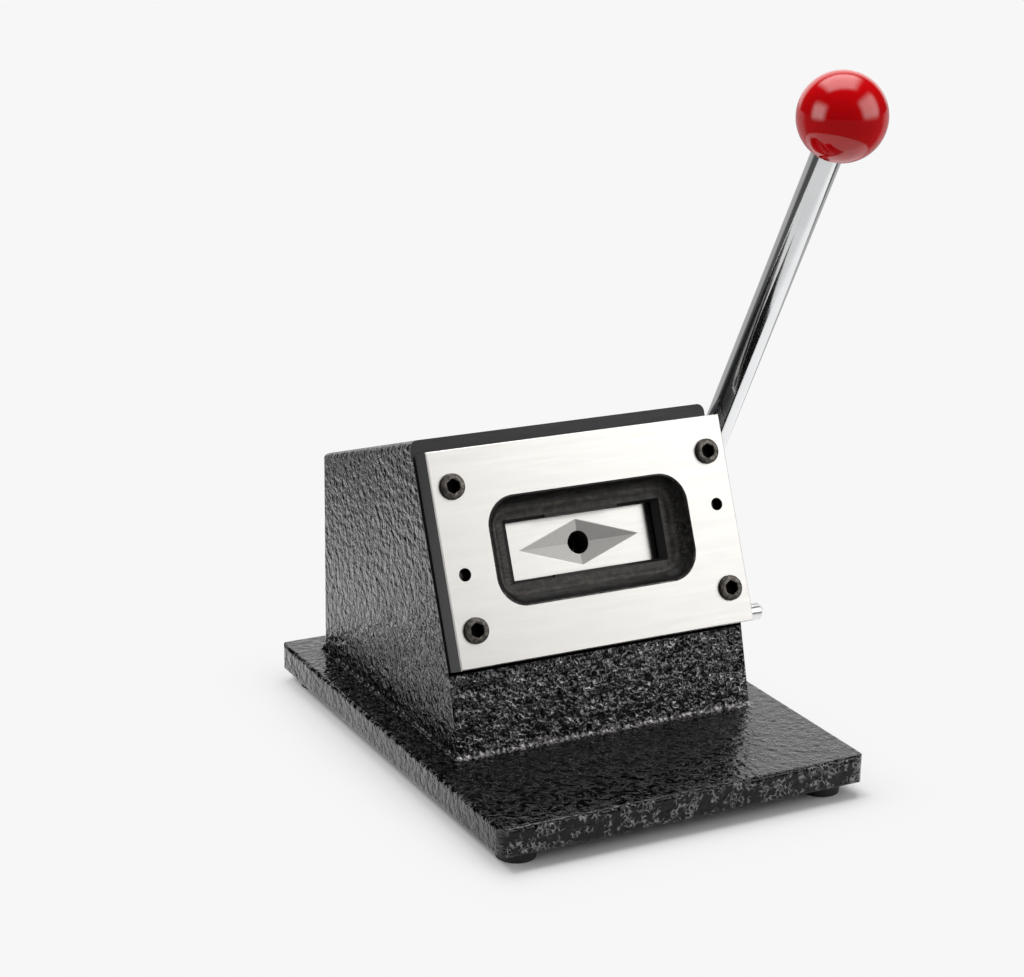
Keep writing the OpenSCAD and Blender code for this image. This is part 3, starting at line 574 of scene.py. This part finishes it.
def window_distance(tree, window, at):
    """Distance outside the window's outline at the plate's front, below zero inside it."""
    half_x = window.rim_w / 2 + window.cove_w - window.corner
    half_y = window.rim_h / 2 + window.cove_w - window.corner
    beyond = outside(tree, at["Across"], at["Up"], half_x, half_y)
    return calc(tree, "SUBTRACT", beyond, window.corner)


def plate_finish(metal, paint, window):
    """Ground front, blackened sides, and painted shade inside the window: near black below the ledge.
    """
    material, tree, shader = new_finish("ground_die_plate")
    color, rough, normal = ground_sockets(tree, metal)
    at = use(tree, "die frame")
    front = ease(tree, at["Out"], PLATE_FRONT - 0.0006, PLATE_FRONT - 0.0005)
    distance = window_distance(tree, window, at)
    bright = times(tree, front, ease(tree, distance, -0.0001, 0.0))
    floor = PLATE_FRONT - window.cove_depth
    # Painted shade: the walls of the opening, deeper than the cove's floor, are near black; the ledge
    # takes the scale's colour.
    on_ledge = ease(tree, at["Out"], floor - 0.0002, floor - 0.0001)
    ledge_and_painted_shade = tint(tree, on_ledge, rgba(metal.scale, 0.1), rgba(metal.scale, 1.8))
    side = tint(tree, ease(tree, distance, 0.0, 0.0002), ledge_and_painted_shade, rgba(paint.machined))
    feed(tree, shader, Base_Color=tint(tree, bright, side, color), Normal=normal,
         Roughness=blend(tree, bright, 0.6, rough), Metallic=bright)
    return material


def punch_finish(metal):
    """Ground face with a duller milled diamond in it, whose facets carry painted light and shade, and
    a black screw hole.
    """
    material, tree, shader = new_finish("ground_punch")
    color, rough, normal = ground_sockets(tree, metal)
    at = use(tree, "die frame")
    hole_r, ridge_w = 0.0046, 0.0001
    below = ease(tree, at["Out"], PUNCH_FACE - 0.00006, PUNCH_FACE - 0.00002, 1.0, 0.0)
    flat = flat_vector(tree, at["Across"], at["Up"])
    hole = ease(tree, reach_of(tree, flat), hole_r - 0.00005, hole_r, 1.0, 0.0)
    mill = noise(tree, vector_calc(tree, "MULTIPLY", flat, (9000, 500, 1)).outputs[0], 1.0)
    # Painted light and shade: each facet of the diamond is made lighter or darker by the way it turns,
    # left or right and up or down; the milling marks are added on top.
    left = ease(tree, at["Across"], -ridge_w, ridge_w, 1.0, 0.0)
    upper = ease(tree, at["Up"], -ridge_w, ridge_w)
    shade = calc(tree, "MULTIPLY_ADD", left, ease(tree, upper, 0.0, 1.0, 0.17, 0.3), 0.55)
    shade = calc(tree, "ADD", shade, ease(tree, mill, 0.35, 0.7, -0.05, 0.05))
    milled = tint(tree, shade, BLACK, rgba(metal.ground))
    color = tint(tree, below, tint(tree, 0.82, BLACK, color), milled)
    rough = blend(tree, below, times(tree, rough, 0.85), 0.55)
    black = times(tree, hole, below)
    feed(tree, shader, Base_Color=tint(tree, black, color, rgba(metal.oxide)), Roughness=rough,
         Normal=normal, Metallic=calc(tree, "SUBTRACT", 1.0, black))
    return material


def worn_metal(name, color, dull, size=0.012, low=0.25, high=0.4, metallic=1.0):
    """Metal with cloudy wear between two colours and a fine grain."""
    material, tree, shader = new_finish(name, Metallic=metallic)
    smudge = use(tree, "smudge", Size=size)["Smudge"]
    grit = use(tree, "grit", Size=0.0004)
    feed(tree, shader, Base_Color=tint(tree, smudge, rgba(color), rgba(color, dull)),
         Roughness=ease(tree, smudge, 0.0, 1.0, low, high),
         Normal=bump(tree, grit["Grain"], 0.000008))
    return material


def chrome_finish(metal):
    """Polished chrome with faint wiping marks."""
    material, tree, shader = new_finish("chrome", Metallic=1.0)
    smudge = use(tree, "smudge", Size=0.02)["Smudge"]
    feed(tree, shader, Base_Color=tint(tree, smudge, rgba(metal.chrome), rgba(metal.chrome, 0.96)),
         Roughness=ease(tree, smudge, 0.0, 1.0, 0.07, 0.11))
    return material


def cove_finish(metal, window):
    """Brown-black scale, pitted at its right end, under painted light and shade: black on the cove's
    wall, lighter on its floor, with a painted highlight along the ridge between them.
    """
    material, tree, shader = new_finish("window_scale", Specular_IOR_Level=0.35)
    at = use(tree, "die frame")
    grit = use(tree, "grit", Size=0.0009)
    coarse = use(tree, "grit", Size=0.0016)
    cloud = use(tree, "smudge", Size=0.003)["Smudge"]
    line = use(tree, "streaks", Length=0.006, Width=0.0007)["Line"]
    right = ease(tree, at["Across"], 0.036, 0.041)
    fine = blend(tree, right, line, coarse["Grain"])
    inward = window_distance(tree, window, at)
    ridge = 0.55 * window.cove_w
    off_ridge = calc(tree, "ABSOLUTE", calc(tree, "ADD", inward, ridge))
    # Painted light and shade: the outer wall is kept near black, the floor is painted lighter, and
    # edge is a painted highlight along the ridge.
    edge = ease(tree, off_ridge, 0.0, 0.14 * window.cove_w, 0.35, 0.0)
    floor = ease(tree, inward, -ridge, -0.3 * window.cove_w, 0.46, 0.04)
    grain = times(tree, ease(tree, fine, 0.3, 0.7, -0.12, 0.22),
                  ease(tree, right, 0.0, 1.0, 1.0, 2.8))
    # The painted light and shade are added to a grain that is the scale's own, and broken up by cloudy
    # noise.
    painted_light_and_grain = calc(tree, "ADD", calc(tree, "ADD", floor, edge), grain)
    painted_light_and_grain = times(tree, painted_light_and_grain, ease(tree, cloud, 0.0, 1.0, 0.6, 1.15))
    color = tint(tree, painted_light_and_grain, rgba(metal.scale, 0.15), rgba(metal.scale, 6.0))
    rugged = times(tree, calc(tree, "SUBTRACT", coarse["Grain"], coarse["Pit"]), right)
    height = calc(tree, "ADD", times(tree, grit["Grain"], 0.5), times(tree, rugged, 5.0))
    feed(tree, shader, Base_Color=color, Normal=bump(tree, height, 0.0002),
         Roughness=ease(tree, right, 0.0, 1.0, 0.42, 0.28))
    return material


def screw_finish(metal, centre, top):
    """Black oxide: mottled and worn on the heads' flat tops, and painted shade in the sockets, near
    black and reflecting almost nothing.
    """
    material, tree, shader = new_finish("black_oxide_heads")
    at = use(tree, "die frame")
    grain = use(tree, "grit", Size=0.0016)["Grain"]
    socket_r = 0.003
    aside = calc(tree, "SUBTRACT", calc(tree, "ABSOLUTE", at["Across"]), centre[0])
    above = calc(tree, "SUBTRACT", calc(tree, "ABSOLUTE", at["Up"]), centre[1])
    away = reach_of(tree, flat_vector(tree, aside, above))
    # Painted shade: the hex sockets are coloured near black and made fully metallic, so that they
    # reflect almost nothing.
    socket = times(tree, ease(tree, away, socket_r - 0.0001, socket_r, 1.0, 0.0),
                   ease(tree, at["Out"], top - 0.0004, top - 0.0001, 1.0, 0.0))
    worn = times(tree, ease(tree, at["Out"], top - 0.0007, top - 0.0003),
                 ease(tree, grain, 0.38, 0.62, 0.2, 1.0))
    color = tint(tree, worn, rgba(metal.oxide, 0.4), rgba(metal.oxide, 3.4))
    # Painted shade in the sockets.
    color = tint(tree, socket, color, rgba(metal.oxide, 0.05))
    feed(tree, shader, Base_Color=color, Roughness=ease(tree, grain, 0.35, 0.65, 0.45, 0.34),
         Metallic=ease(tree, socket, 0.0, 1.0, 0.5, 1.0), Normal=bump(tree, grain, 0.00004))
    return material


def knob_finish(metal):
    """Glossy red plastic with the faint waviness of a moulding."""
    material, tree, shader = new_finish("red_knob", IOR=1.57)
    smudge = use(tree, "smudge", Size=0.014)["Smudge"]
    feed(tree, shader, Base_Color=tint(tree, smudge, rgba(metal.knob), rgba(metal.knob, 0.92)),
         Roughness=ease(tree, smudge, 0.0, 1.0, 0.07, 0.11),
         Normal=bump(tree, noise(tree, place(tree), 90.0, 1.0), 0.00006))
    return material


def rubber_finish(metal):
    """Matt black rubber with a dusty bloom."""
    material, tree, shader = new_finish("rubber")
    smudge = use(tree, "smudge", Size=0.006)["Smudge"]
    grit = use(tree, "grit", Size=0.0005)
    feed(tree, shader, Base_Color=tint(tree, smudge, rgba(metal.rubber), rgba(metal.rubber, 1.8)),
         Roughness=ease(tree, smudge, 0.0, 1.0, 0.6, 0.78),
         Normal=bump(tree, grit["Grain"], 0.00004))
    return material


def finish_nodes(material, *names):
    """Gives solids a material in place of the plain one that they came with."""
    for name in names:
        frame["nodes"][name].data.materials[0] = material


# Operators

class CUTTER_OT_stage(bpy.types.Operator):
    """Camera, pale floor, white surroundings and soft boxes"""

    bl_idname = "cutter.stage"
    bl_label = "Stage"

    def execute(self, context):
        stage = context.scene.cutter_stage
        make_camera(context.scene, stage)
        make_world(context.scene, stage)
        make_floor(context.scene, stage)
        make_boxes(context.scene, stage)
        context.scene.view_settings.view_transform = "Standard"
        return {"FINISHED"}


def make_camera(scene, stage):
    """Camera that looks at the target with the photograph's lens and roll."""
    data = bpy.data.cameras.new("camera")
    data.lens = stage.lens
    data.clip_end = 50
    eye = Vector(stage.camera)
    turn = (Vector(stage.target) - eye).to_track_quat("-Z", "Y").to_matrix()
    turn = turn @ Matrix.Rotation(stage.roll, 3, "Z")
    camera = bpy.data.objects.new("camera", data)
    camera.matrix_world = Matrix.Translation(eye) @ turn.to_4x4()
    scene.collection.objects.link(camera)
    scene.camera = camera


def backward(stage):
    """Level direction from the camera to the back of the scene."""
    back = Vector(stage.target) - Vector(stage.camera)
    back.z = 0
    return back.normalized()


def make_world(scene, stage):
    """A dim room with a white sweep behind the object, and plain white for the camera itself."""
    world = bpy.data.worlds.new("surroundings")
    world.use_nodes = True
    tree = world.node_tree
    way = add(tree, "TexCoord").outputs["Generated"]
    behind = dot(tree, way, backward(stage))
    height = dot(tree, way, UP)
    wall = times(tree, ease(tree, behind, 0.7, 0.88), ease(tree, height, 0.55, 0.75, 1.0, 0.0))
    upper = blend(tree, wall, stage.room, stage.mirrored)
    lower = ease(tree, behind, 0.3, 0.55, stage.ground, stage.sweep)
    glow = blend(tree, ease(tree, height, -0.02, 0.02), lower, upper)
    seen = add(tree, "LightPath").outputs["Is Camera Ray"]
    background = tree.nodes["Background"]
    background.inputs["Color"].default_value = WHITE
    tree.links.new(blend(tree, seen, glow, stage.backdrop), background.inputs["Strength"])
    scene.world = world


def make_floor(scene, stage):
    """Pale round floor: lit near the base, so that it keeps the shadow, and plain white further out.

    Outside the base the lit share is near ** falloff, where near falls from 1 to 0 over a
    distance, times the shadow's strength. At the left it starts a little inside the base.
    """
    turn = np.linspace(0, 2 * math.pi, 96, endpoint=False)
    reach = np.array([0.0001, 0.2, 0.33])
    grid = np.zeros((len(reach), len(turn), 3))
    grid[..., 0] = reach[:, None] * np.cos(turn)
    grid[..., 1] = reach[:, None] * np.sin(turn)
    mesh = bpy.data.meshes.new("floor")
    mesh.from_pydata(grid.reshape(-1, 3), [], quads_of(len(reach), len(turn), False, True))
    floor = bpy.data.objects.new("floor", mesh)
    scene.collection.objects.link(floor)
    material, tree, shader = new_finish("floor", Roughness=0.9, Specular_IOR_Level=0.1,
                                        Base_Color=rgba([stage.floor] * 3))
    fade, falloff, contact, inset = 0.074, 5.5, 0.003, 0.003
    here = place(tree)
    spot = add(tree, "SeparateXYZ", {0: here}).outputs
    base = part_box("base_plate")[1]
    aside = calc(tree, "SUBTRACT", spot["X"], inset)
    away = outside(tree, aside, spot["Y"], base[0] - inset, base[1])
    near = calc(tree, "MAXIMUM", calc(tree, "MULTIPLY_ADD", away, -1 / fade, 1.0), 0.0)
    shadow = times(tree, calc(tree, "POWER", near, falloff),
                   ease(tree, away, 0.0, contact, 1.0, stage.shadow))
    path = add(tree, "LightPath").outputs
    mirrored = calc(tree, "MAXIMUM", path["Is Glossy Ray"], path["Is Transmission Ray"])
    seen = calc(tree, "MAXIMUM", path["Is Camera Ray"], mirrored)
    far = times(tree, calc(tree, "SUBTRACT", 1.0, shadow), seen)
    ahead = dot(tree, here, -backward(stage))
    shaded = ease(tree, ahead, 0.02, 0.12, stage.mirrored, stage.apron)
    glow = blend(tree, mirrored, stage.backdrop, shaded)
    plain = add(tree, "Emission", {"Color": WHITE, "Strength": glow})
    mixed = add(tree, "MixShader", {0: far, 1: shader.outputs[0], 2: plain.outputs[0]})
    tree.links.new(mixed.outputs[0], tree.nodes["Material Output"].inputs["Surface"])
    mesh.materials.append(material)


def make_boxes(scene, stage):
    """Soft boxes to the right, to the left and overhead."""
    soft_box(scene, "right_box", 43, 26.5, 1.15, (1.3, 1.1), stage.right, 0.6)
    soft_box(scene, "left_box", -95, 20, 1.15, (1.15, 1.05), stage.left, 0.7)
    soft_box(scene, "top_box", 150, 75, 1.05, (1.35, 1.25), stage.top, 0.5)


def soft_box(scene, name, azimuth, elevation, distance, size, radiance, soft):
    """Area lamp that faces the object and fades to its edges.

    Azimuth 0 stands at -Y and 90 at +X, and soft is the share of each half that fades.
    """
    lamp = bpy.data.lights.new(name, "AREA")
    lamp.shape = "RECTANGLE"
    lamp.size, lamp.size_y = size
    lamp.energy = radiance * math.pi * size[0] * size[1]
    a, e = math.radians(azimuth), math.radians(elevation)
    way = Vector((math.sin(a) * math.cos(e), -math.cos(a) * math.cos(e), math.sin(e)))
    aim = Vector((0, 0, 0.12))
    turn = way.to_track_quat("Z", "Y").to_matrix().to_4x4()
    box = bpy.data.objects.new(name, lamp)
    box.matrix_world = Matrix.Translation(aim + way * distance) @ turn
    box.visible_camera = False
    scene.collection.objects.link(box)
    lamp.use_nodes = True
    tree = lamp.node_tree
    spot = add(tree, "SeparateXYZ", {0: add(tree, "NewGeometry").outputs["Parametric"]}).outputs
    fades = []
    for axis in ("X", "Y"):
        off_centre = calc(tree, "ABSOLUTE", calc(tree, "MULTIPLY_ADD", spot[axis], 2.0, -1.0))
        fades.append(ease(tree, off_centre, 1 - soft, 1.0, 1.0, 0.0))
    tree.links.new(times(tree, *fades), tree.nodes["Emission"].inputs["Strength"])


class CUTTER_OT_castings(bpy.types.Operator):
    """Hammer paint of the housing and the base plate, with the bead of paint where they meet"""

    bl_idname = "cutter.castings"
    bl_label = "Castings"

    def execute(self, context):
        paint = context.scene.cutter_paint
        finish_nodes(hammer_finish(paint), "base_plate")
        finish_nodes(housing_finish(paint), "housing")
        bead = [bead_grid(paint.bead)]
        build_piece("paint_bead", bead, bead_finish(paint), "frame")
        return {"FINISHED"}


def bead_grid(size):
    """Bead of paint round the housing's foot: a hollow quarter circle carried along its outline.

    The profile runs from the wall down to the base as size * (1 - cos a, 1 - sin a), and
    returns below the surfaces. Waves along the foot change its size by a third.
    """
    low, high = (np.array(corner) for corner in FOOT_BOX)
    half = (high[:2] - low[:2]) / 2
    signs, outward = square_loop(3, 220)
    corner = 0.0003
    path = (low[:2] + high[:2]) / 2 + signs * (half - corner) + corner * outward
    along = np.cumsum(np.linalg.norm(np.diff(path, axis=0, prepend=path[-1:]), axis=1))
    arc = np.linspace(0, math.pi / 2, 9)
    out = np.concatenate([1 - np.cos(arc), [1.0, -0.9, -0.9]])
    rise = np.concatenate([1 - np.sin(arc), [-0.3, -0.3, 1.0]])
    swell = size * (1 + 0.33 * waves(11, along, 0 * along, 14, 900, 3600))
    grid = np.zeros((len(path), len(out), 3))
    grid[..., :2] = path[:, None] + outward[:, None] * (swell[:, None] * out)[..., None]
    grid[..., 2] = low[2] + swell[:, None] * rise
    return grid


class CUTTER_OT_die(bpy.types.Operator):
    """Ground die plate and punch, and the dark rough cove of the window"""

    bl_idname = "cutter.die"
    bl_label = "Die and punch"

    def execute(self, context):
        scene = context.scene
        metal, window = scene.cutter_metal, scene.cutter_window
        finish_nodes(plate_finish(metal, scene.cutter_paint, window), "die_plate")
        finish_nodes(punch_finish(metal), "punch")
        scale = cove_finish(metal, window)
        build_piece("window_cove", [cove_grid(window)], scale, "frame", crease=50)
        return {"FINISHED"}


def cove_grid(window):
    """Lining of the window's cove: a hollow quarter ellipse carried round the rim.

    At angle a the outline has grown by width * sin a and lies depth * cos a below the
    front. It is lifted off the solid a little, with a bell-shaped ridge between floor and
    wall, roughened by waves, and closed behind.
    """
    signs, outward = square_loop(22, 60)
    turn = np.linspace(0, math.pi / 2, 44)
    lift, sink = 0.0002, 0.0005
    way_in = np.stack([-np.sin(turn) / window.cove_w, np.cos(turn) / window.cove_depth], -1)
    way_in /= np.linalg.norm(way_in, axis=1)[:, None]
    line = np.stack([window.cove_w * np.sin(turn), -window.cove_depth * np.cos(turn)], -1)
    half = np.array([window.rim_w, window.rim_h]) / 2
    spread = np.arange(len(signs))[:, None] * 2 * math.pi / len(signs)
    bumps = waves(5, 30 * spread + 0 * turn, 3 * turn + 0 * spread, 24, 0.6, 3.0)
    off_ridge = (line[:, 0] - 0.45 * window.cove_w) / (0.07 * window.cove_w)
    ridge = window.ridge * np.exp(-off_ridge ** 2)
    front = line + (lift + window.roughness * bumps + ridge)[..., None] * way_in
    back = np.broadcast_to(line - sink * way_in, front.shape)[:, ::-1]
    section = np.concatenate([front, back], 1)
    radius = window.rim_r + (window.corner - window.rim_r) * np.sin(turn)
    radius = np.concatenate([radius, radius[::-1]])[:, None]
    grown = half + section[..., :1]
    flat = signs[:, None] * (grown - radius) + radius * outward[:, None]
    return on_die(flat[..., 0], flat[..., 1], PLATE_FRONT + section[..., 1])


class CUTTER_OT_screws(bpy.types.Operator):
    """Socket-head screws of the die plate, with knurled heads, and the other blackened pieces"""

    bl_idname = "cutter.screws"
    bl_label = "Screws"

    def execute(self, context):
        metal, window = context.scene.cutter_metal, context.scene.cutter_window
        oxide = worn_metal("black_oxide", metal.oxide, 1.9, 0.004, 0.3, 0.45, 0.55)
        finish_nodes(oxide, "housing_screws", "guide_screws", "punch_screw", "wear_plate_screws",
                     "lever_hub")
        points = node_points("die_screws")
        aside, above = np.abs(points @ ACROSS), np.abs(points @ UP_FACE - DIE_LEVEL)
        centre = [(side.min() + side.max()) / 2 for side in (aside, above)]
        heads = screw_finish(metal, centre, span("die_screws", OUT)[1] - FACE_LEVEL)
        grids = [screw_grid(points, sx, sy, window) for sx in (-1, 1) for sy in (-1, 1)]
        screws = build_piece("die_screw_heads", grids, heads, "frame",
                             wrap_rows=False, crease=25)
        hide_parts("die_screws")
        return {"FINISHED"}


def screw_grid(points, side_x, side_y, window):
    """One socket-head screw as rings about its axis, from the socket's bottom round to the tip.

    The socket's rings follow a hexagon, apothem / cos(a - nearest flat), and the head's
    side is cut by knurls, whose depth is a rectified sine of the angle.
    """
    across, up = points @ ACROSS, points @ UP_FACE - DIE_LEVEL
    mine = (across * side_x > 0) & (up * side_y > 0)
    across, up, out = across[mine], up[mine], points[mine] @ OUT - FACE_LEVEL
    centre = [(across.min() + across.max()) / 2, (up.min() + up.max()) / 2]
    head = (across.max() - across.min()) / 2
    top, tip = out.max(), out.min()
    turn = np.linspace(0, 2 * math.pi, window.knurls * 8, endpoint=False)
    near_flat = (turn + math.pi / 6) % (math.pi / 3) - math.pi / 6
    hexagon = window.hexagon / 2 / np.cos(near_flat)
    knurl = 1 - 0.022 * np.abs(np.sin(turn * window.knurls / 2))
    bevel, shank, seat = 0.0006, 0.003, 0.006
    drill, socket, lead, soft, point = 0.0038, 0.003, 0.0003, 0.0001, 0.0005
    mouth = window.hexagon / 2 / math.cos(math.pi / 6) + soft
    ring = np.ones_like(turn)
    rings = [
        (0 * ring, top - drill), (hexagon * 0.98, top - socket),
        (hexagon, top - socket), (hexagon, top - lead), (mouth * ring, top),
        ((head - bevel - soft) * ring, top), ((head - bevel) * ring, top - 0.4 * soft),
        ((head - soft) * ring, top - bevel + soft), (head * knurl, top - bevel - soft),
        (head * knurl, top - seat + lead), ((head - 2 * soft) * ring, top - seat),
        (shank * ring, top - seat), (shank * ring, tip + point),
        ((shank - point) * ring, tip), (0 * ring, tip),
    ]
    radius = np.array([r for r, _ in rings])
    level = np.array([z for _, z in rings])[:, None] + 0 * turn
    return on_die(centre[0] + radius * np.cos(turn), centre[1] + radius * np.sin(turn), level)


class CUTTER_OT_lever(bpy.types.Operator):
    """Chrome rod and stop pin, and the red ball knob"""

    bl_idname = "cutter.lever"
    bl_label = "Lever"

    def execute(self, context):
        metal = context.scene.cutter_metal
        finish_nodes(chrome_finish(metal), "lever_rod")
        brushed = worn_metal("brushed_pin", metal.chrome, 0.9, 0.004, 0.24, 0.34)
        finish_nodes(brushed, "stop_pin")
        finish_nodes(knob_finish(metal), "ball_knob")
        return {"FINISHED"}


class CUTTER_OT_works(bpy.types.Operator):
    """Inner works: ram, guide, shaft, cam, bushings and pins"""

    bl_idname = "cutter.works"
    bl_label = "Inner works"

    def execute(self, context):
        metal = context.scene.cutter_metal
        turned = worn_metal("turned_steel", metal.steel, 0.8)
        finish_nodes(turned, "cam_shaft", "cam_key", "hub_pin", "left_cam_spacer",
                     "right_cam_spacer", "foot_screws", "left_guide_post", "right_guide_post")
        hard = worn_metal("hardened_steel", metal.hard, 0.6)
        finish_nodes(hard, "guide_plate", "ram", "wear_plate", "eccentric_cam", "left_spacer",
                     "right_spacer", "dowel_pins")
        bronze = worn_metal("bronze", metal.bronze, 0.7)
        finish_nodes(bronze, "left_bushing", "right_bushing", "knob_insert")
        for side in ("left", "right"):
            build_spring(side, turned)
        return {"FINISHED"}


def build_spring(side, material):
    """Return spring as a round wire carried along a helix."""
    points = node_points(side + "_return_spring")
    axis_x = sum(span(side + "_guide_post", ACROSS)) / 2
    axis_up = sum(span(side + "_guide_post", UP_FACE)) / 2
    radius = np.hypot(points @ ACROSS - axis_x, points @ UP_FACE - axis_up)
    wire = (radius.max() - radius.min()) / 2
    mean = (radius.max() + radius.min()) / 2
    low, high = span(side + "_return_spring", OUT)
    turns, turn_steps, wire_steps = 6, 48, 16
    angle = np.linspace(0, 2 * math.pi * turns, turns * turn_steps + 1)[:, None]
    round_wire = np.linspace(0, 2 * math.pi, wire_steps, endpoint=False)[None, :]
    reach = mean + wire * np.cos(round_wire)
    climb = low + wire + (high - low - 2 * wire) * angle / angle.max() + wire * np.sin(round_wire)
    grid = (axis_x + reach * np.cos(angle))[..., None] * ACROSS
    grid = grid + (axis_up + reach * np.sin(angle))[..., None] * UP_FACE + climb[..., None] * OUT
    ends = np.repeat(grid[[0, -1]].mean(1, keepdims=True), grid.shape[1], 1)
    grid = np.concatenate([ends[:1], grid, ends[1:]])
    spring = build_piece(side + "_spring", [grid], material, "frame", wrap_rows=False)
    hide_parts(side + "_return_spring")
    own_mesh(spring)


class CUTTER_OT_feet(bpy.types.Operator):
    """Black rubber feet"""

    bl_idname = "cutter.feet"
    bl_label = "Feet"

    def execute(self, context):
        corners = [f"foot_{end}_{side}" for end in ("front", "rear") for side in ("left", "right")]
        finish_nodes(rubber_finish(context.scene.cutter_metal), *corners)
        return {"FINISHED"}


class CUTTER_PT_panel(bpy.types.Panel):
    """Sidebar panel that lists the sizes, colours and pieces"""

    bl_label = "Photo strip cutter"
    bl_idname = "CUTTER_PT_panel"
    bl_space_type = "VIEW_3D"
    bl_region_type = "UI"
    bl_category = "Cutter"

    def draw(self, context):
        for name, settings in SETTINGS.items():
            box = self.layout.box()
            for label in settings.__annotations__:
                box.prop(getattr(context.scene, name), label)
        for operator in OPERATORS:
            self.layout.operator(operator.bl_idname)


SETTINGS = {"cutter_paint": CutterPaint, "cutter_metal": CutterMetal,
            "cutter_window": CutterWindow, "cutter_stage": CutterStage}
OPERATORS = (CUTTER_OT_stage, CUTTER_OT_castings, CUTTER_OT_die, CUTTER_OT_screws,
             CUTTER_OT_lever, CUTTER_OT_works, CUTTER_OT_feet)


def register():
    """Registers the settings, the operators and the panel."""
    for name, settings in SETTINGS.items():
        bpy.utils.register_class(settings)
        setattr(bpy.types.Scene, name, PointerProperty(type=settings))
    for cls in (*OPERATORS, CUTTER_PT_panel):
        bpy.utils.register_class(cls)


def unregister():
    """Takes them out again."""
    for cls in (CUTTER_PT_panel, *reversed(OPERATORS)):
        bpy.utils.unregister_class(cls)
    for name, settings in SETTINGS.items():
        delattr(bpy.types.Scene, name)
        bpy.utils.unregister_class(settings)


def main():
    """Makes the stage and every piece."""
    register()
    make_groups()
    bpy.ops.cutter.stage()
    bpy.ops.cutter.castings()
    bpy.ops.cutter.die()
    bpy.ops.cutter.screws()
    bpy.ops.cutter.lever()
    bpy.ops.cutter.works()
    bpy.ops.cutter.feet()


if __name__ == "__main__":
    main()
